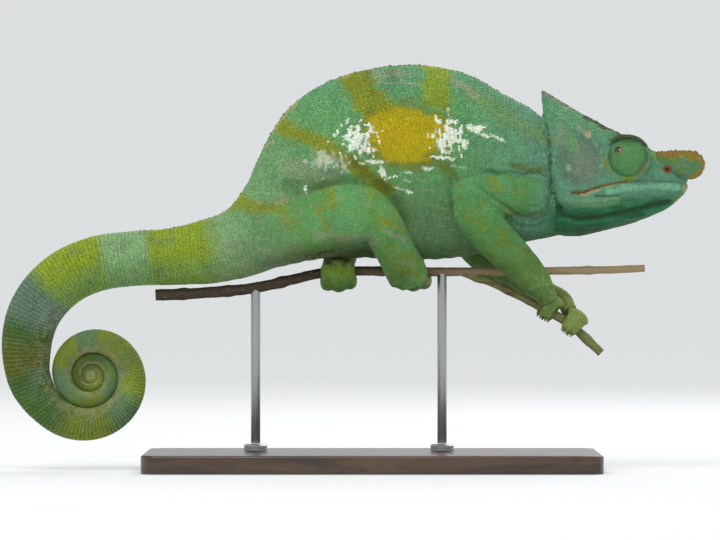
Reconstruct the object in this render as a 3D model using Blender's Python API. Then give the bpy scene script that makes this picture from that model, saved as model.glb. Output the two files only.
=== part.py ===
"""A male Parson's chameleon, life-size, gripping a cut forked twig on a plain display stand.

Sizes are in millimetres and become metres when a mesh is made. X runs from tail to snout, Z is up,
and the animal's right side faces -Y. The origin is the middle of the stand's underside.
"""

import math

import bmesh
import bpy
from mathutils import Vector

MM = 0.001
CUT = 0.35  # the thin cut between two neighbouring pieces
GROW = 0.3  # how far a piece that cuts its neighbour is grown first

# The stand
BASE_LENGTH, BASE_DEPTH, BASE_HEIGHT = 250.0, 116.0, 10.0
BASE_CORNER, BASE_EDGE = 9.0, 1.2
ROD_RADIUS = 2.6
ROD_PLACES = (-64.0, 38.5)
COLLAR_RADIUS, COLLAR_HEIGHT = 6.5, 4.0

# The perch: x, z, radius along each twig
MAIN_TWIG = [
    (-119, 96.2, 3.1), (-95, 97.3, 3), (-67, 99.8, 3), (-45, 104.4, 2.8), (-28, 108.2, 2.7),
    (-6, 109.4, 2.6), (32, 109, 2.5), (70, 109.2, 2.3), (98, 109.5, 2.2), (128, 110, 2.1),
    (150, 111, 2),
]
FORK_TWIG = [
    (50, 108.6, 2.2), (66, 103, 2.3), (82, 95.4, 2.4), (97, 87.4, 2.5), (110, 79.2, 2.4),
    (126, 64.4, 2.3),
]

# The trunk, from neck to root of tail: back x, z, belly x, z, half width, sharpness of the back's keel
TRUNK = [
    (106, 183.5, 107, 130.5, 13.5, 1), (97, 191.5, 97, 127.5, 15.5, 1.1),
    (87, 199, 86, 125.5, 18, 1.2), (75, 205.5, 75, 122.5, 20.5, 1.3),
    (59.5, 214.5, 62, 119.3, 22.5, 1.35), (43, 220.5, 50, 117, 24, 1.4),
    (21, 223, 38, 115.8, 25, 1.4), (-1, 221, 26.5, 115.6, 25.5, 1.4),
    (-23, 214.5, 15.5, 115.8, 25, 1.4), (-43, 202, 2, 116.2, 24, 1.4),
    (-56, 184.5, -13, 116.6, 22, 1.35), (-64, 168.5, -31, 115.4, 19.5, 1.3),
    (-70.5, 154.5, -50, 111.5, 17, 1.2), (-80, 143, -70, 105.5, 15, 1.1),
    (-95.5, 137, -93, 102, 14.2, 1),
]
# The tail ahead of its coil: middle x, z, half depth
TAIL_RUN = [
    (-112.5, 117.2, 15.6), (-131, 116.3, 15.3), (-150, 113.8, 15.4), (-166, 107.4, 15.4),
    (-178, 97.6, 15.2), (-185.8, 86, 14.8), (-189.4, 73.8, 14.2), (-190, 61.5, 13.3),
    (-188.2, 49.4, 12), (-182.2, 38.3, 10.3),
]
TAIL_FLATNESS = 0.86  # half width over half depth
# The coil is a spiral that halves its radius at each turn, so that its windings just clear each other
COIL_CENTRE = (-154.6, 52.0)
COIL_RADIUS = 22.3  # of the tail's middle, straight ahead of the centre
COIL_START, COIL_END = math.radians(232), math.radians(1375)
WINDING_GAP = 0.45
COIL_STEPS = 54
TAIL_TIP_FLATNESS = 0.95
TIP_SHARE, TIP_REACH = 0.55, (-0.1, 0.5)  # the blunt tip's last ring: its size, how far on it lies

# The head, from the casque's tip to the snout: top x, z, chin x, z, then half widths down the side
HEAD = [
    (93, 210, 101.5, 129, 0.9, 5, 11.5, 18, 15), (99.5, 206, 107, 128.6, 3, 7.5, 15, 21.5, 17),
    (108, 200.5, 115, 129.6, 6, 10.5, 17.5, 23, 17.5),
    (118.5, 194.2, 124.5, 131.6, 9, 13.5, 18.5, 22.8, 16.5),
    (128.5, 188.8, 134, 133.8, 11.5, 15.2, 18.2, 21.5, 15.2),
    (138.5, 184, 143, 136.4, 12.8, 15.5, 18, 19.8, 14),
    (147.4, 179.6, 151, 139.4, 11.8, 14.4, 17, 18, 12.8),
    (155, 175.6, 158, 142.4, 9.6, 12.4, 14.8, 15.6, 11.2),
    (162, 172.4, 163.6, 145.4, 7.8, 10, 12.4, 12.8, 9.4),
    (168, 168.8, 168, 148.6, 5.4, 7.6, 9.2, 9.2, 6.8),
    (171.6, 165, 171.2, 150.8, 3.6, 5.4, 6.6, 6.4, 4.6),
    (173.6, 161.4, 173, 153.2, 1.6, 2.6, 3.2, 3.2, 2.2),
]
SIDE_HEIGHTS = (0.0, 0.22, 0.45, 0.66, 0.86)  # where those half widths lie, from top to chin
CHIN_BREADTH = 0.62  # the chin's half width, just above its lowest line, over the jaw's
HEAD_PLACES = (0.0, 0.6, 1.2, 1.9, 2.6, 3.3, 4.0, 5.0, 6.0)  # where a ring has its points, between those
CROWN_DIP = 1.3  # the hollow between the crests
MOUTH = [
    (182, 156.2), (161, 156.8), (145, 157.4), (133, 156.8), (123, 154.4), (111, 150.4), (105, 144),
    (102.5, 135), (101.5, 120),
]
BEYOND_SNOUT, BELOW_CHIN, BESIDE_HEAD = 205.0, 118.0, 40.0  # reach of the block that parts off the jaw
EYE = (139.7, 15.6, 171.6)
EYE_RADIUS, EYE_BULGE = 11.0, 11.4

# A blade of horn at each side of the snout: top x, z, foot x, z, distance from the middle, half thickness
HORN = [
    (148.8, 175.2, 150.8, 168, 7.5, 2.2), (155.8, 174.8, 157.3, 164.8, 8.2, 3),
    (163.8, 175.4, 164.8, 162.8, 9, 3.4), (171.8, 175.6, 171.8, 160.6, 9.9, 3.4),
    (177.8, 174.6, 176.8, 160, 10.6, 3), (181, 171.6, 180, 162.4, 11, 2.3),
    (182.4, 168.6, 182, 166, 11.2, 1.3),
]

# Limbs: x, distance from the middle, z, half depth in the animal's side view, half thickness
NEAR_THIGH = [
    (-66, 6, 126, 14.5, 8), (-56, 11, 128.6, 15.8, 10), (-39, 18, 133.4, 15.8, 10.5),
    (-20, 24, 138.6, 16.6, 10.5), (-6, 28, 141.2, 15.6, 10), (3.5, 29.5, 143.2, 11, 8.4),
    (9.5, 29.5, 144.4, 5, 4),
]
NEAR_SHIN = [
    (-2, 28.6, 144.5, 4, 4), (1.5, 28.8, 140.5, 10.5, 8.6), (5.5, 27, 134, 11.5, 9.4),
    (10, 22.5, 125.5, 11.3, 8.8), (14.5, 17, 117, 11, 7.8), (18.3, 12.5, 110, 11.4, 6),
    (20.8, 10, 104.2, 10.6, 4.6), (21.6, 9, 100, 6.4, 3.2),
]
FAR_THIGH = [
    (-66, 6, 125, 14.5, 8), (-56, 11, 127, 15.8, 10), (-40, 19, 131.5, 15.8, 10.5),
    (-24, 26, 138.5, 15, 10.5), (-12, 31, 145.5, 12.8, 10), (-4, 33.5, 149.6, 9, 8),
    (-0.5, 34.4, 151.2, 4.5, 4),
]
FAR_SHIN = [
    (-6.5, 33, 149, 4, 4), (-7.5, 32.6, 146, 9, 8), (-10, 30, 139.5, 10.6, 9),
    (-14, 24, 128.5, 9.8, 8.2), (-17.2, 17, 118, 9, 7), (-18.8, 12, 110.5, 9, 5.6),
    (-19, 9.6, 104, 8, 4.4), (-19, 8.8, 100, 4.6, 3),
]
NEAR_ARM = [
    (97.5, 4, 152.5, 7.5, 7), (90, 11, 151.4, 10.6, 9.4), (77, 19, 150.2, 11.4, 9.4),
    (65, 24.5, 150.8, 10.9, 9), (54.5, 27, 151, 9.8, 8), (47, 27.5, 150.6, 7, 6),
    (43.6, 27.5, 150.4, 3.4, 3),
]
NEAR_FOREARM = [
    (51.5, 27, 150, 4.5, 4), (52.4, 27.2, 146.6, 9.2, 8), (56.2, 27, 139.8, 11.2, 9),
    (64.6, 24, 129.6, 11.6, 9), (78.6, 18, 115.6, 10.4, 8), (89.4, 11.6, 104.4, 8.6, 7),
    (94.6, 6.6, 97.2, 6.8, 5.6), (96.8, 4.6, 92.8, 5.6, 4.6),
]
FAR_ARM = [
    (97.5, 4, 149, 8.5, 7), (90, 11, 147.4, 11.6, 9.4), (77, 19, 145, 11.4, 9.4),
    (65, 25, 141.6, 10.6, 9), (55.5, 28, 138.4, 9.4, 8), (49.4, 29, 136.4, 6.2, 6),
    (46.4, 29.2, 135.4, 3, 3),
]
FAR_FOREARM = [
    (52.5, 28.6, 137.5, 4, 4), (52.6, 28.8, 133.5, 8.2, 8), (56, 28.4, 126, 10.6, 9),
    (66.5, 26, 115, 10, 8.6), (83, 21.5, 102.6, 8.2, 7.4), (98, 18.8, 97, 6, 5.4),
    (105.6, 13, 94, 4.9, 4.8), (109, 6, 87, 4.6, 4.2),
]

# Toes, with their breadth and spacing over their thickness
HIND_TOE, FORE_TOE, PRESSED_TOE = 4.5, 2.45, 2.8
TOE_BREADTH, TOE_PITCH, TOE_STEPS = 1.12, 1.36, 5
TOE_TAPER = 0.26  # share of its thickness that a toe loses towards its claw
OUTER_TOE, OUTER_TOE_SHORT = 0.86, 9.0  # its thickness over its neighbour's, degrees it is shorter
CLAW_LENGTH, CLAW_RADIUS = 3.6, 1.25
# Each foot's place along its twig and its two bundles: name, count of toes, first and last angle round
# the twig, toe thickness. An angle is 0 on the leg's own side, 90 on top and -90 underneath
FEET = {
    ("hind", "right"): (22.4, (("outer", 3, -20, -182, HIND_TOE), ("inner", 2, 25, 100, PRESSED_TOE))),
    ("hind", "left"): (-18.6, (("outer", 3, -20, -214, HIND_TOE), ("inner", 2, 25, 85, PRESSED_TOE))),
    ("fore", "right"): (96.4, (("outer", 2, 60, -55, FORE_TOE), ("inner", 3, 120, 235, FORE_TOE))),
    ("fore", "left"): (109.6, (("outer", 2, 60, -60, FORE_TOE), ("inner", 3, 120, 228, FORE_TOE))),
}

RING, LIMB_RING, TOE_RING = 16, 10, 6  # points round the body, round a limb and round a toe

COLOURS = {"skin": (0.13, 0.36, 0.20), "eye_skin": (0.10, 0.40, 0.16), "horn": (0.48, 0.27, 0.07),
           "bark": (0.17, 0.09, 0.06), "stand_wood": (0.09, 0.05, 0.03), "stand_metal": (0.25, 0.25, 0.26)}
ROUGHNESS = {"skin": 0.6, "eye_skin": 0.5, "horn": 0.7, "bark": 0.85, "stand_wood": 0.4, "stand_metal": 0.35}


def clear_scene():
    for thing in list(bpy.data.objects):
        bpy.data.objects.remove(thing, do_unlink=True)


def material(name):
    """The finish of that name, made once."""
    found = bpy.data.materials.get(name)
    if found:
        return found
    made = bpy.data.materials.new(name)
    made.use_nodes = True
    shader = made.node_tree.nodes["Principled BSDF"]
    shader.inputs["Base Color"].default_value = (*COLOURS[name], 1)
    shader.inputs["Roughness"].default_value = ROUGHNESS[name]
    shader.inputs["Metallic"].default_value = 1.0 if name == "stand_metal" else 0.0
    return made


def between(rows, at):
    """The row at a fractional place in a table, on a smooth curve through its rows."""
    last = len(rows) - 1
    at = min(max(at, 0.0), float(last))
    i = min(int(at), last - 1)
    t = at - i
    here, after = rows[i], rows[i + 1]
    before = rows[i - 1] if i > 0 else [2 * a - b for a, b in zip(here, after)]
    beyond = rows[i + 2] if i + 2 <= last else [2 * b - a for a, b in zip(here, after)]
    row = []
    for a, b, c, d in zip(before, here, after, beyond):
        bend, twist = 2 * a - 5 * b + 4 * c - d, 3 * b - a - 3 * c + d
        row.append(0.5 * (2 * b + (c - a) * t + bend * t * t + twist * t ** 3))
    return row


def sampled(rows, count, start=0.0, end=None):
    """count rows, evenly from start to end of a table."""
    end = len(rows) - 1 if end is None else end
    return [between(rows, start + (end - start) * i / (count - 1)) for i in range(count)]


def solid(name, rings, finish, shown=True):
    """A closed body lofted through rings of points in millimetres, with flat ends."""
    mesh = bmesh.new()
    loops = [[mesh.verts.new(point * MM) for point in ring] for ring in rings]
    for one, other in zip(loops, loops[1:]):
        for i in range(len(one)):
            j = (i + 1) % len(one)
            mesh.faces.new((one[i], one[j], other[j], other[i]))
    mesh.faces.new(loops[0])
    mesh.faces.new(loops[-1])
    return finished(name, mesh, finish, shown)


def finished(name, mesh, finish, shown=True):
    """The bmesh as an object. One that isn't shown is a cutter."""
    bmesh.ops.recalc_face_normals(mesh, faces=mesh.faces)
    data = bpy.data.meshes.new(name)
    mesh.to_mesh(data)
    mesh.free()
    data.materials.append(material(finish))
    data.shade_smooth()
    data.set_sharp_from_angle(angle=math.radians(45))
    made = bpy.data.objects.new(name, data)
    bpy.context.scene.collection.objects.link(made)
    if not shown:
        made.hide_render = True
        made.display_type = "WIRE"
    return made


def boolean(target, other, operation="DIFFERENCE"):
    """Cuts other out of target, or joins or keeps what they share."""
    step = target.modifiers.new(f"{operation.lower()}_{other.name}"[:60], "BOOLEAN")
    step.operation = operation
    step.solver = "EXACT"
    step.object = other


def oval(top, foot, out, half, keel, count, grow=0.0):
    """A ring in the plane through top and foot, points (x, z), and across the animal.

    half is its half width and keel over 1 draws the top to an edge."""
    top, foot = Vector((top[0], 0, top[1])), Vector((foot[0], 0, foot[1]))
    middle, reach = (top + foot) / 2, (top - foot) / 2
    reach = reach * (1 + grow / reach.length)
    ring = []
    for i in range(count):
        angle = 2 * math.pi * i / count
        down = (1 - math.cos(angle)) / 2
        sharp = keel + (1 - keel) * min(1.0, down * 1.6)
        across = math.copysign(abs(math.sin(angle)) ** sharp, math.sin(angle)) * (half + grow)
        ring.append(middle + reach * math.cos(angle) + Vector((0, out + across, 0)))
    return ring


def coil_row(angle):
    """The coil's body row at an angle: dorsal x, z, ventral x, z, half width, keel."""
    middle = COIL_RADIUS * 2 ** (1 - angle / (2 * math.pi))
    depth = (middle - WINDING_GAP) / 3 + WINDING_GAP / 6
    way = (math.cos(angle), math.sin(angle))
    outer = [c + (middle + depth) * w for c, w in zip(COIL_CENTRE, way)]
    inner = [c + (middle - depth) * w for c, w in zip(COIL_CENTRE, way)]
    return (*outer, *inner, depth * TAIL_TIP_FLATNESS, 1.0)


def body_rows():
    """The body from neck to tail tip as rows like the trunk's, and where its tail and its coil begin."""
    rows = [*TRUNK]
    root = [(TRUNK[-1][k] + TRUNK[-1][k + 2]) / 2 for k in (0, 1)]
    for i, (x, z, depth) in enumerate(TAIL_RUN):
        ahead = TAIL_RUN[i - 1] if i else root
        beyond = TAIL_RUN[min(i + 1, len(TAIL_RUN) - 1)]
        run = Vector((ahead[0] - beyond[0], ahead[1] - beyond[1])).normalized()
        back = Vector((-run.y, run.x)) * depth
        rows.append((x + back.x, z + back.y, x - back.x, z - back.y, depth * TAIL_FLATNESS, 1.0))
    coil_from = len(rows)
    for i in range(COIL_STEPS + 1):
        share = i / COIL_STEPS
        rows.append(coil_row(COIL_START + (COIL_END - COIL_START) * share))
    return rows, len(TRUNK), coil_from


def body_ring(row, count, grow=0.0):
    return oval(row[0:2], row[2:4], 0.0, row[4], row[5], count, grow)


def rounded_end(row, share, along):
    """The row shrunk to share of its size, for a blunt tip, and pushed along (x, z)."""
    mid_x, mid_z = (row[0] + row[2]) / 2, (row[1] + row[3]) / 2
    return (mid_x + (row[0] - mid_x) * share + along[0], mid_z + (row[1] - mid_z) * share + along[1],
            mid_x + (row[2] - mid_x) * share + along[0], mid_z + (row[3] - mid_z) * share + along[1],
            row[4] * share, row[5])


def body_lengths():
    """The trunk and tail, parted across into named lengths by thin cuts."""
    rows, tail_from, coil_from = body_rows()
    last = len(rows) - 1
    quarter = COIL_STEPS / ((COIL_END - COIL_START) / (math.pi / 2))
    parts = [
        ("neck", 0.0, 2.3, 4),
        ("chest", 2.3, 5.6, 7),
        ("abdomen", 5.6, 9.0, 8),
        ("pelvis", 9.0, 12.6, 8),
        ("tail_root", 12.6, tail_from + 1.6, 7),
        ("tail_middle", tail_from + 1.6, tail_from + 4.0, 6),
        ("tail_bend", tail_from + 4.0, tail_from + 6.6, 6),
        ("tail_drop", tail_from + 6.6, coil_from + 0.4, 7),
        ("tail_coil_outer", coil_from + 0.4, coil_from + 1.9 * quarter, 10),
        ("tail_coil_upper", coil_from + 1.9 * quarter, coil_from + 3.9 * quarter, 11),
        ("tail_coil_inner", coil_from + 3.9 * quarter, coil_from + 6.5 * quarter, 13),
        ("tail_tip", coil_from + 6.5 * quarter, float(last), 20),
    ]
    made = {}
    for name, start, end, count in parts:
        pace = [b - a for a, b in zip(between(rows, start), between(rows, start + 0.5))]
        step = CUT / 2 / math.hypot(pace[0] + pace[2], pace[1] + pace[3])
        chosen = sampled(rows, count, start + (step if start else 0), end - (step if end < last else 0))
        around = RING if end <= coil_from + 1 else LIMB_RING
        if end == last:
            chosen.append(rounded_end(chosen[-1], TIP_SHARE, TIP_REACH))
        made[name] = solid(name, [body_ring(row, around) for row in chosen], "skin")
    return made


def trunk_cutter():
    """The trunk and the root of the tail, slightly grown, which part the limbs from it."""
    rows, tail_from, _ = body_rows()
    rings = [body_ring(row, RING, GROW) for row in sampled(rows, 26, 0.0, tail_from + 2.0)]
    return solid("cutter_trunk", rings, "skin", shown=False)


def head_ring(row, grow=0.0):
    """A ring of the head, with the hollow crown between its two crests."""
    top, chin = Vector((row[0], 0, row[1])), Vector((row[2], 0, row[3]))
    down = (chin - top).normalized()
    side = [*zip(SIDE_HEIGHTS, row[4:]), (0.96, row[8] * CHIN_BREADTH), (1.0, 0.0)]
    dip = min(CROWN_DIP, row[4] * 0.2)
    right = [(-grow + dip, 0.0), (-grow + dip * 0.55, row[4] * 0.5)]
    depth = (chin - top).length
    for place in HEAD_PLACES:
        height, half = between(side, place)
        right.append((height * depth + grow * (2 * height - 1), half + (grow if half > 0 else 0)))
    half_ring = [top + down * along + Vector((0, -out, 0)) for along, out in right]
    other = [Vector((p.x, -p.y, p.z)) for p in reversed(half_ring[1:-1])]
    return half_ring + other


def mouth_block(name, shift_x, shift_z):
    """All that lies below and ahead of the mouth line, right through the head."""
    line = [Vector((x + shift_x, 0, z + shift_z)) for x, z in sampled(MOUTH, 15)]
    corners = [Vector((BEYOND_SNOUT + shift_x, 0, z)) for z in (BELOW_CHIN, line[0].z)]
    rings = [[point + Vector((0, out, 0)) for point in line + corners] for out in (-BESIDE_HEAD, BESIDE_HEAD)]
    return solid(name, rings, "skin", shown=False)


def ball(name, centre, radii, finish, shown=True, segments=14, rings=8):
    mesh = bmesh.new()
    bmesh.ops.create_uvsphere(mesh, u_segments=segments, v_segments=rings, radius=1.0)
    for vert in mesh.verts:
        x, y, z = vert.co
        vert.co = Vector((centre[0] + radii[0] * x, centre[1] + radii[1] * z, centre[2] - radii[2] * y)) * MM
    return finished(name, mesh, finish, shown)


def head_parts():
    """Skull with casque, lower jaw, eye turrets and horns. Returns the cutter that parts off the neck."""
    rows = sampled(HEAD, 15)
    skull = solid("head", [head_ring(row) for row in rows], "skin")
    jaw = solid("jaw", [head_ring(row) for row in rows], "skin")
    grown = solid("cutter_head", [head_ring(row, GROW) for row in rows], "skin", shown=False)
    grown.location.x = -GROW * MM
    boolean(skull, mouth_block("cutter_below_mouth", 0, 0))
    boolean(jaw, mouth_block("cutter_jaw", CUT * 0.7, -CUT), "INTERSECT")
    for side, out in (("right", -1), ("left", 1)):
        centre = (EYE[0], EYE[1] * out, EYE[2])
        ball(f"eye_{side}", centre, (EYE_RADIUS, EYE_BULGE, EYE_RADIUS), "eye_skin")
        socket = [r + GROW for r in (EYE_RADIUS, EYE_BULGE, EYE_RADIUS)]
        boolean(skull, ball(f"cutter_socket_{side}", centre, socket, "skin", shown=False))
        blade = [oval(r[0:2], r[2:4], out * r[4], r[5], 1.0, LIMB_RING) for r in sampled(HORN, 8)]
        horn = solid(f"horn_{side}", blade, "horn")
        boolean(horn, grown)
        socket_grown = ball(f"cutter_eye_{side}", centre, socket, "skin", shown=False)
        boolean(horn, socket_grown)
    return grown


def sweep(rows, side_hint, count, grow=0.0):
    """Rings along a path of rows x, y, z, half depth, half thickness. Thickness lies along side_hint."""
    rings = []
    for i, row in enumerate(rows):
        here = Vector(row[:3])
        run = (Vector(rows[min(i + 1, len(rows) - 1)][:3]) - Vector(rows[max(i - 1, 0)][:3])).normalized()
        side = (side_hint - run * side_hint.dot(run)).normalized()
        up = side.cross(run)
        depth, thick = row[3] + grow, row[4] + grow
        rings.append([here + up * depth * math.cos(a) + side * thick * math.sin(a)
                      for a in (2 * math.pi * k / count for k in range(count))])
    return rings


def limb(name, rows, out, rings=9, grow=0.0, shown=True):
    """A length of limb on the side of the animal that out gives, -1 for right and 1 for left."""
    path = [(r[0], r[1] * out, r[2], r[3], r[4]) for r in sampled(rows, rings)]
    return solid(name, sweep(path, Vector((0, 1, 0)), LIMB_RING, grow), "skin", shown)


def twig_frame(rows, x):
    """The twig's middle, radius and run where it passes that x."""
    fine = sampled(rows, 200)
    nearest = min(range(1, 199), key=lambda i: abs(fine[i][0] - x))
    here, ahead = fine[nearest], fine[nearest + 1]
    run = Vector((ahead[0] - here[0], 0, ahead[1] - here[1])).normalized()
    return Vector((here[0], 0, here[1])), here[2], run


def toe(name, twig, x, out, first, last, thick, shown):
    """A toe curled round the twig, from angle first to last in degrees, with its claw."""
    middle, radius, run = twig_frame(twig, x)
    up = Vector((-run.z, 0, run.x))
    across = Vector((0, out, 0))
    turn = math.copysign(1, last - first)
    rows = []
    for i in range(TOE_STEPS):
        share = i / (TOE_STEPS - 1)
        angle = math.radians(first + (last - first) * share)
        half = thick * (1.0 - TOE_TAPER * share ** 2)
        place = middle + (across * math.cos(angle) + up * math.sin(angle)) * (radius + CUT + half)
        rows.append((*place, half, half * TOE_BREADTH))
    angle = math.radians(last)
    ahead = (up * math.cos(angle) - across * math.sin(angle)) * turn
    outward = across * math.cos(angle) + up * math.sin(angle)
    for reach, size, lift in ((0.3, CLAW_RADIUS, 0.5), (1.0, CLAW_RADIUS * 0.25, 0.0)):
        root = Vector(rows[TOE_STEPS - 1][:3])
        point = root + ahead * (CLAW_LENGTH * reach) + outward * (lift * CLAW_RADIUS)
        rows.append((*point, size, size))
    return solid(name, sweep(rows, run, TOE_RING), "skin", shown)


def toe_bundle(name, twig, x, out, count, first, last, thick, cutters):
    """count toes side by side round the twig, joined into one body and parted from its neighbours."""
    run = twig_frame(twig, x)[2]
    bundle = None
    for i in range(count):
        aside = i - (count - 1) / 2
        short = abs(aside) * OUTER_TOE_SHORT * math.copysign(1, last - first)
        size = thick * (1 - abs(aside) * (1 - OUTER_TOE))
        label = name if bundle is None else f"cutter_{name}_{i}"
        place = x + aside * thick * TOE_PITCH * run.x
        made = toe(label, twig, place, out, first, last - short, size, bundle is None)
        if bundle is None:
            bundle = made
        else:
            boolean(bundle, made, "UNION")
    for cutter in cutters:
        boolean(bundle, cutter)
    return bundle


def leg(kind, side, out, upper_rows, lower_rows, twig, trunk, perch):
    """One leg: its upper and lower lengths and its two opposed bundles of toes."""
    upper_name, lower_name = ("thigh", "shin") if kind == "hind" else ("upper_arm", "forearm")
    upper = limb(f"{upper_name}_{side}", upper_rows, out)
    lower = limb(f"{lower_name}_{side}", lower_rows, out)
    boolean(upper, trunk)
    boolean(lower, limb(f"cutter_{upper_name}_{side}", upper_rows, out, grow=GROW, shown=False))
    boolean(lower, trunk)
    lower_grown = limb(f"cutter_{lower_name}_{side}", lower_rows, out, grow=GROW, shown=False)
    cutters = (lower_grown, trunk) if kind == "hind" else (lower_grown,)
    boolean(lower, perch)
    foot_x, bundles = FEET[kind, side]
    for label, count, first, last, thick in bundles:
        toe_bundle(f"{kind}_toes_{side}_{label}", twig, foot_x, out, count, first, last, thick, cutters)


def twigs():
    """The cut twig and its fork, which meet at a thin cut, and a cutter of each."""
    cutters = []
    for name, table, count in (("main", MAIN_TWIG, 15), ("fork", FORK_TWIG, 9)):
        path = [(x, 0, z, r, r) for x, z, r in sampled(table, count)]
        twig = solid(f"perch_{name}", sweep(path, Vector((0, 1, 0)), LIMB_RING), "bark")
        if cutters:
            boolean(twig, cutters[0])
        grown = sweep(path, Vector((0, 1, 0)), LIMB_RING, GROW)
        cutters.append(solid(f"cutter_perch_{name}", grown, "bark", shown=False))
    return cutters


def cylinder(name, x, low, high, radius, finish, count=20):
    rings = [[Vector((x + radius * math.cos(a), radius * math.sin(a), z))
              for a in (2 * math.pi * k / count for k in range(count))] for z in (low, high)]
    return solid(name, rings, finish)


def board():
    """The base, with round corners and a softened upper rim."""
    mesh = bmesh.new()
    bmesh.ops.create_cube(mesh, size=1.0)
    for vert in mesh.verts:
        x, y, z = vert.co
        vert.co = Vector((x * BASE_LENGTH, y * BASE_DEPTH, (z + 0.5) * BASE_HEIGHT)) * MM
    upright = [e for e in mesh.edges if abs(e.verts[0].co.z - e.verts[1].co.z) > MM]
    bmesh.ops.bevel(mesh, geom=upright, offset=BASE_CORNER * MM, segments=4, profile=0.5, affect="EDGES")
    rim = [e for e in mesh.edges if min(v.co.z for v in e.verts) > (BASE_HEIGHT - 0.01) * MM]
    bmesh.ops.bevel(mesh, geom=rim, offset=BASE_EDGE * MM, segments=2, profile=0.5, affect="EDGES")
    finished("stand_base", mesh, "stand_wood")


def rods(perch_cutter):
    """The two short rods under the twig, each in a collar at its foot."""
    for label, x in zip(("rear", "front"), ROD_PLACES):
        foot = BASE_HEIGHT + CUT
        cylinder(f"stand_collar_{label}", x, foot, foot + COLLAR_HEIGHT, COLLAR_RADIUS, "stand_metal")
        sill, head = foot + COLLAR_HEIGHT + CUT, twig_frame(MAIN_TWIG, x)[0].z
        rod = cylinder(f"stand_rod_{label}", x, sill, head, ROD_RADIUS, "stand_metal")
        boolean(rod, perch_cutter)


def legs(trunk, main_cutter, fork_cutter):
    """The four legs. The hind feet hold the twig from its sides, the fore feet the fork from above."""
    leg("hind", "right", -1, NEAR_THIGH, NEAR_SHIN, MAIN_TWIG, trunk, main_cutter)
    leg("hind", "left", 1, FAR_THIGH, FAR_SHIN, MAIN_TWIG, trunk, main_cutter)
    leg("fore", "right", -1, NEAR_ARM, NEAR_FOREARM, FORK_TWIG, trunk, fork_cutter)
    leg("fore", "left", 1, FAR_ARM, FAR_FOREARM, FORK_TWIG, trunk, fork_cutter)


def main():
    clear_scene()
    head_cutter = head_parts()
    lengths = body_lengths()
    boolean(lengths["neck"], head_cutter)
    main_cutter, fork_cutter = twigs()
    legs(trunk_cutter(), main_cutter, fork_cutter)
    board()
    rods(main_cutter)


main()
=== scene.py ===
"""Looks of a life-size male Parson's chameleon, gripping a cut twig on a plain display stand.

One skin with its folds and lids carries scales of solid mesh. Eyes, horns, claws, twigs and stand are
pieces of their own. Sizes are in millimetres and become metres when a mesh is made. X runs from tail to
snout, Z is up, and the animal's right side faces -Y.
"""

import itertools
import math

import bmesh
import bpy
import numpy as np
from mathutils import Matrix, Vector
from mathutils.bvhtree import BVHTree
from mathutils.kdtree import KDTree


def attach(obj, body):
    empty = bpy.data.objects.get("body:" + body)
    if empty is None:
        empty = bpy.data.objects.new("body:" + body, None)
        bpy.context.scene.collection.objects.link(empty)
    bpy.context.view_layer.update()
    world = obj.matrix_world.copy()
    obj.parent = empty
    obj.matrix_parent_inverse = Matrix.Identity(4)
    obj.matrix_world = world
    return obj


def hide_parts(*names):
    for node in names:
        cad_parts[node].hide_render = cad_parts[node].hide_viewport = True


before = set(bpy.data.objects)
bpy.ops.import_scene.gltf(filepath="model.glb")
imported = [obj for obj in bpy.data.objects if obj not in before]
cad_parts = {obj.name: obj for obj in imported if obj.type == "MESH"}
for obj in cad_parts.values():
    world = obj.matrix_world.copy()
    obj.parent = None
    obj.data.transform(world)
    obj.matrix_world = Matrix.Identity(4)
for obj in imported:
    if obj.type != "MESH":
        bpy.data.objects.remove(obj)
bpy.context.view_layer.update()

MM = 0.001

# ---------------------------------------------------------------- the forms, as in the solids

COAT = 0.45  # the coat's depth: how far the skin lies inside the solids
COIL_COAT = -0.2  # in the coil the windings press together, so the skin fills the gap between the solids
TUBE_KEEL = 1.0

MAIN_TWIG = [
    (-119, 96.2, 3.1), (-95, 97.3, 3), (-67, 99.8, 3), (-45, 104.4, 2.8), (-28, 108.2, 2.7),
    (-6, 109.4, 2.6), (32, 109, 2.5), (70, 109.2, 2.3), (98, 109.5, 2.2), (128, 110, 2.1),
    (150, 111, 2),
]
FORK_TWIG = [
    (50, 108.6, 2.2), (66, 103, 2.3), (82, 95.4, 2.4), (97, 87.4, 2.5), (110, 79.2, 2.4),
    (126, 64.4, 2.3),
]

# The trunk, from neck to root of tail: back x, z, belly x, z, half width, sharpness of the back's keel
TRUNK = [
    (106, 183.5, 107, 130.5, 13.5, 1), (97, 191.5, 97, 127.5, 15.5, 1.1),
    (87, 199, 86, 125.5, 18, 1.2), (75, 205.5, 75, 122.5, 20.5, 1.3),
    (59.5, 214.5, 62, 119.3, 22.5, 1.35), (43, 220.5, 50, 117, 24, 1.4),
    (21, 223, 38, 115.8, 25, 1.4), (-1, 221, 26.5, 115.6, 25.5, 1.4),
    (-23, 214.5, 15.5, 115.8, 25, 1.4), (-43, 202, 2, 116.2, 24, 1.4),
    (-56, 184.5, -13, 116.6, 22, 1.35), (-64, 168.5, -31, 115.4, 19.5, 1.3),
    (-70.5, 154.5, -50, 111.5, 17, 1.2), (-80, 143, -70, 105.5, 15, 1.1),
    (-95.5, 137, -93, 102, 14.2, 1),
]
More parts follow.
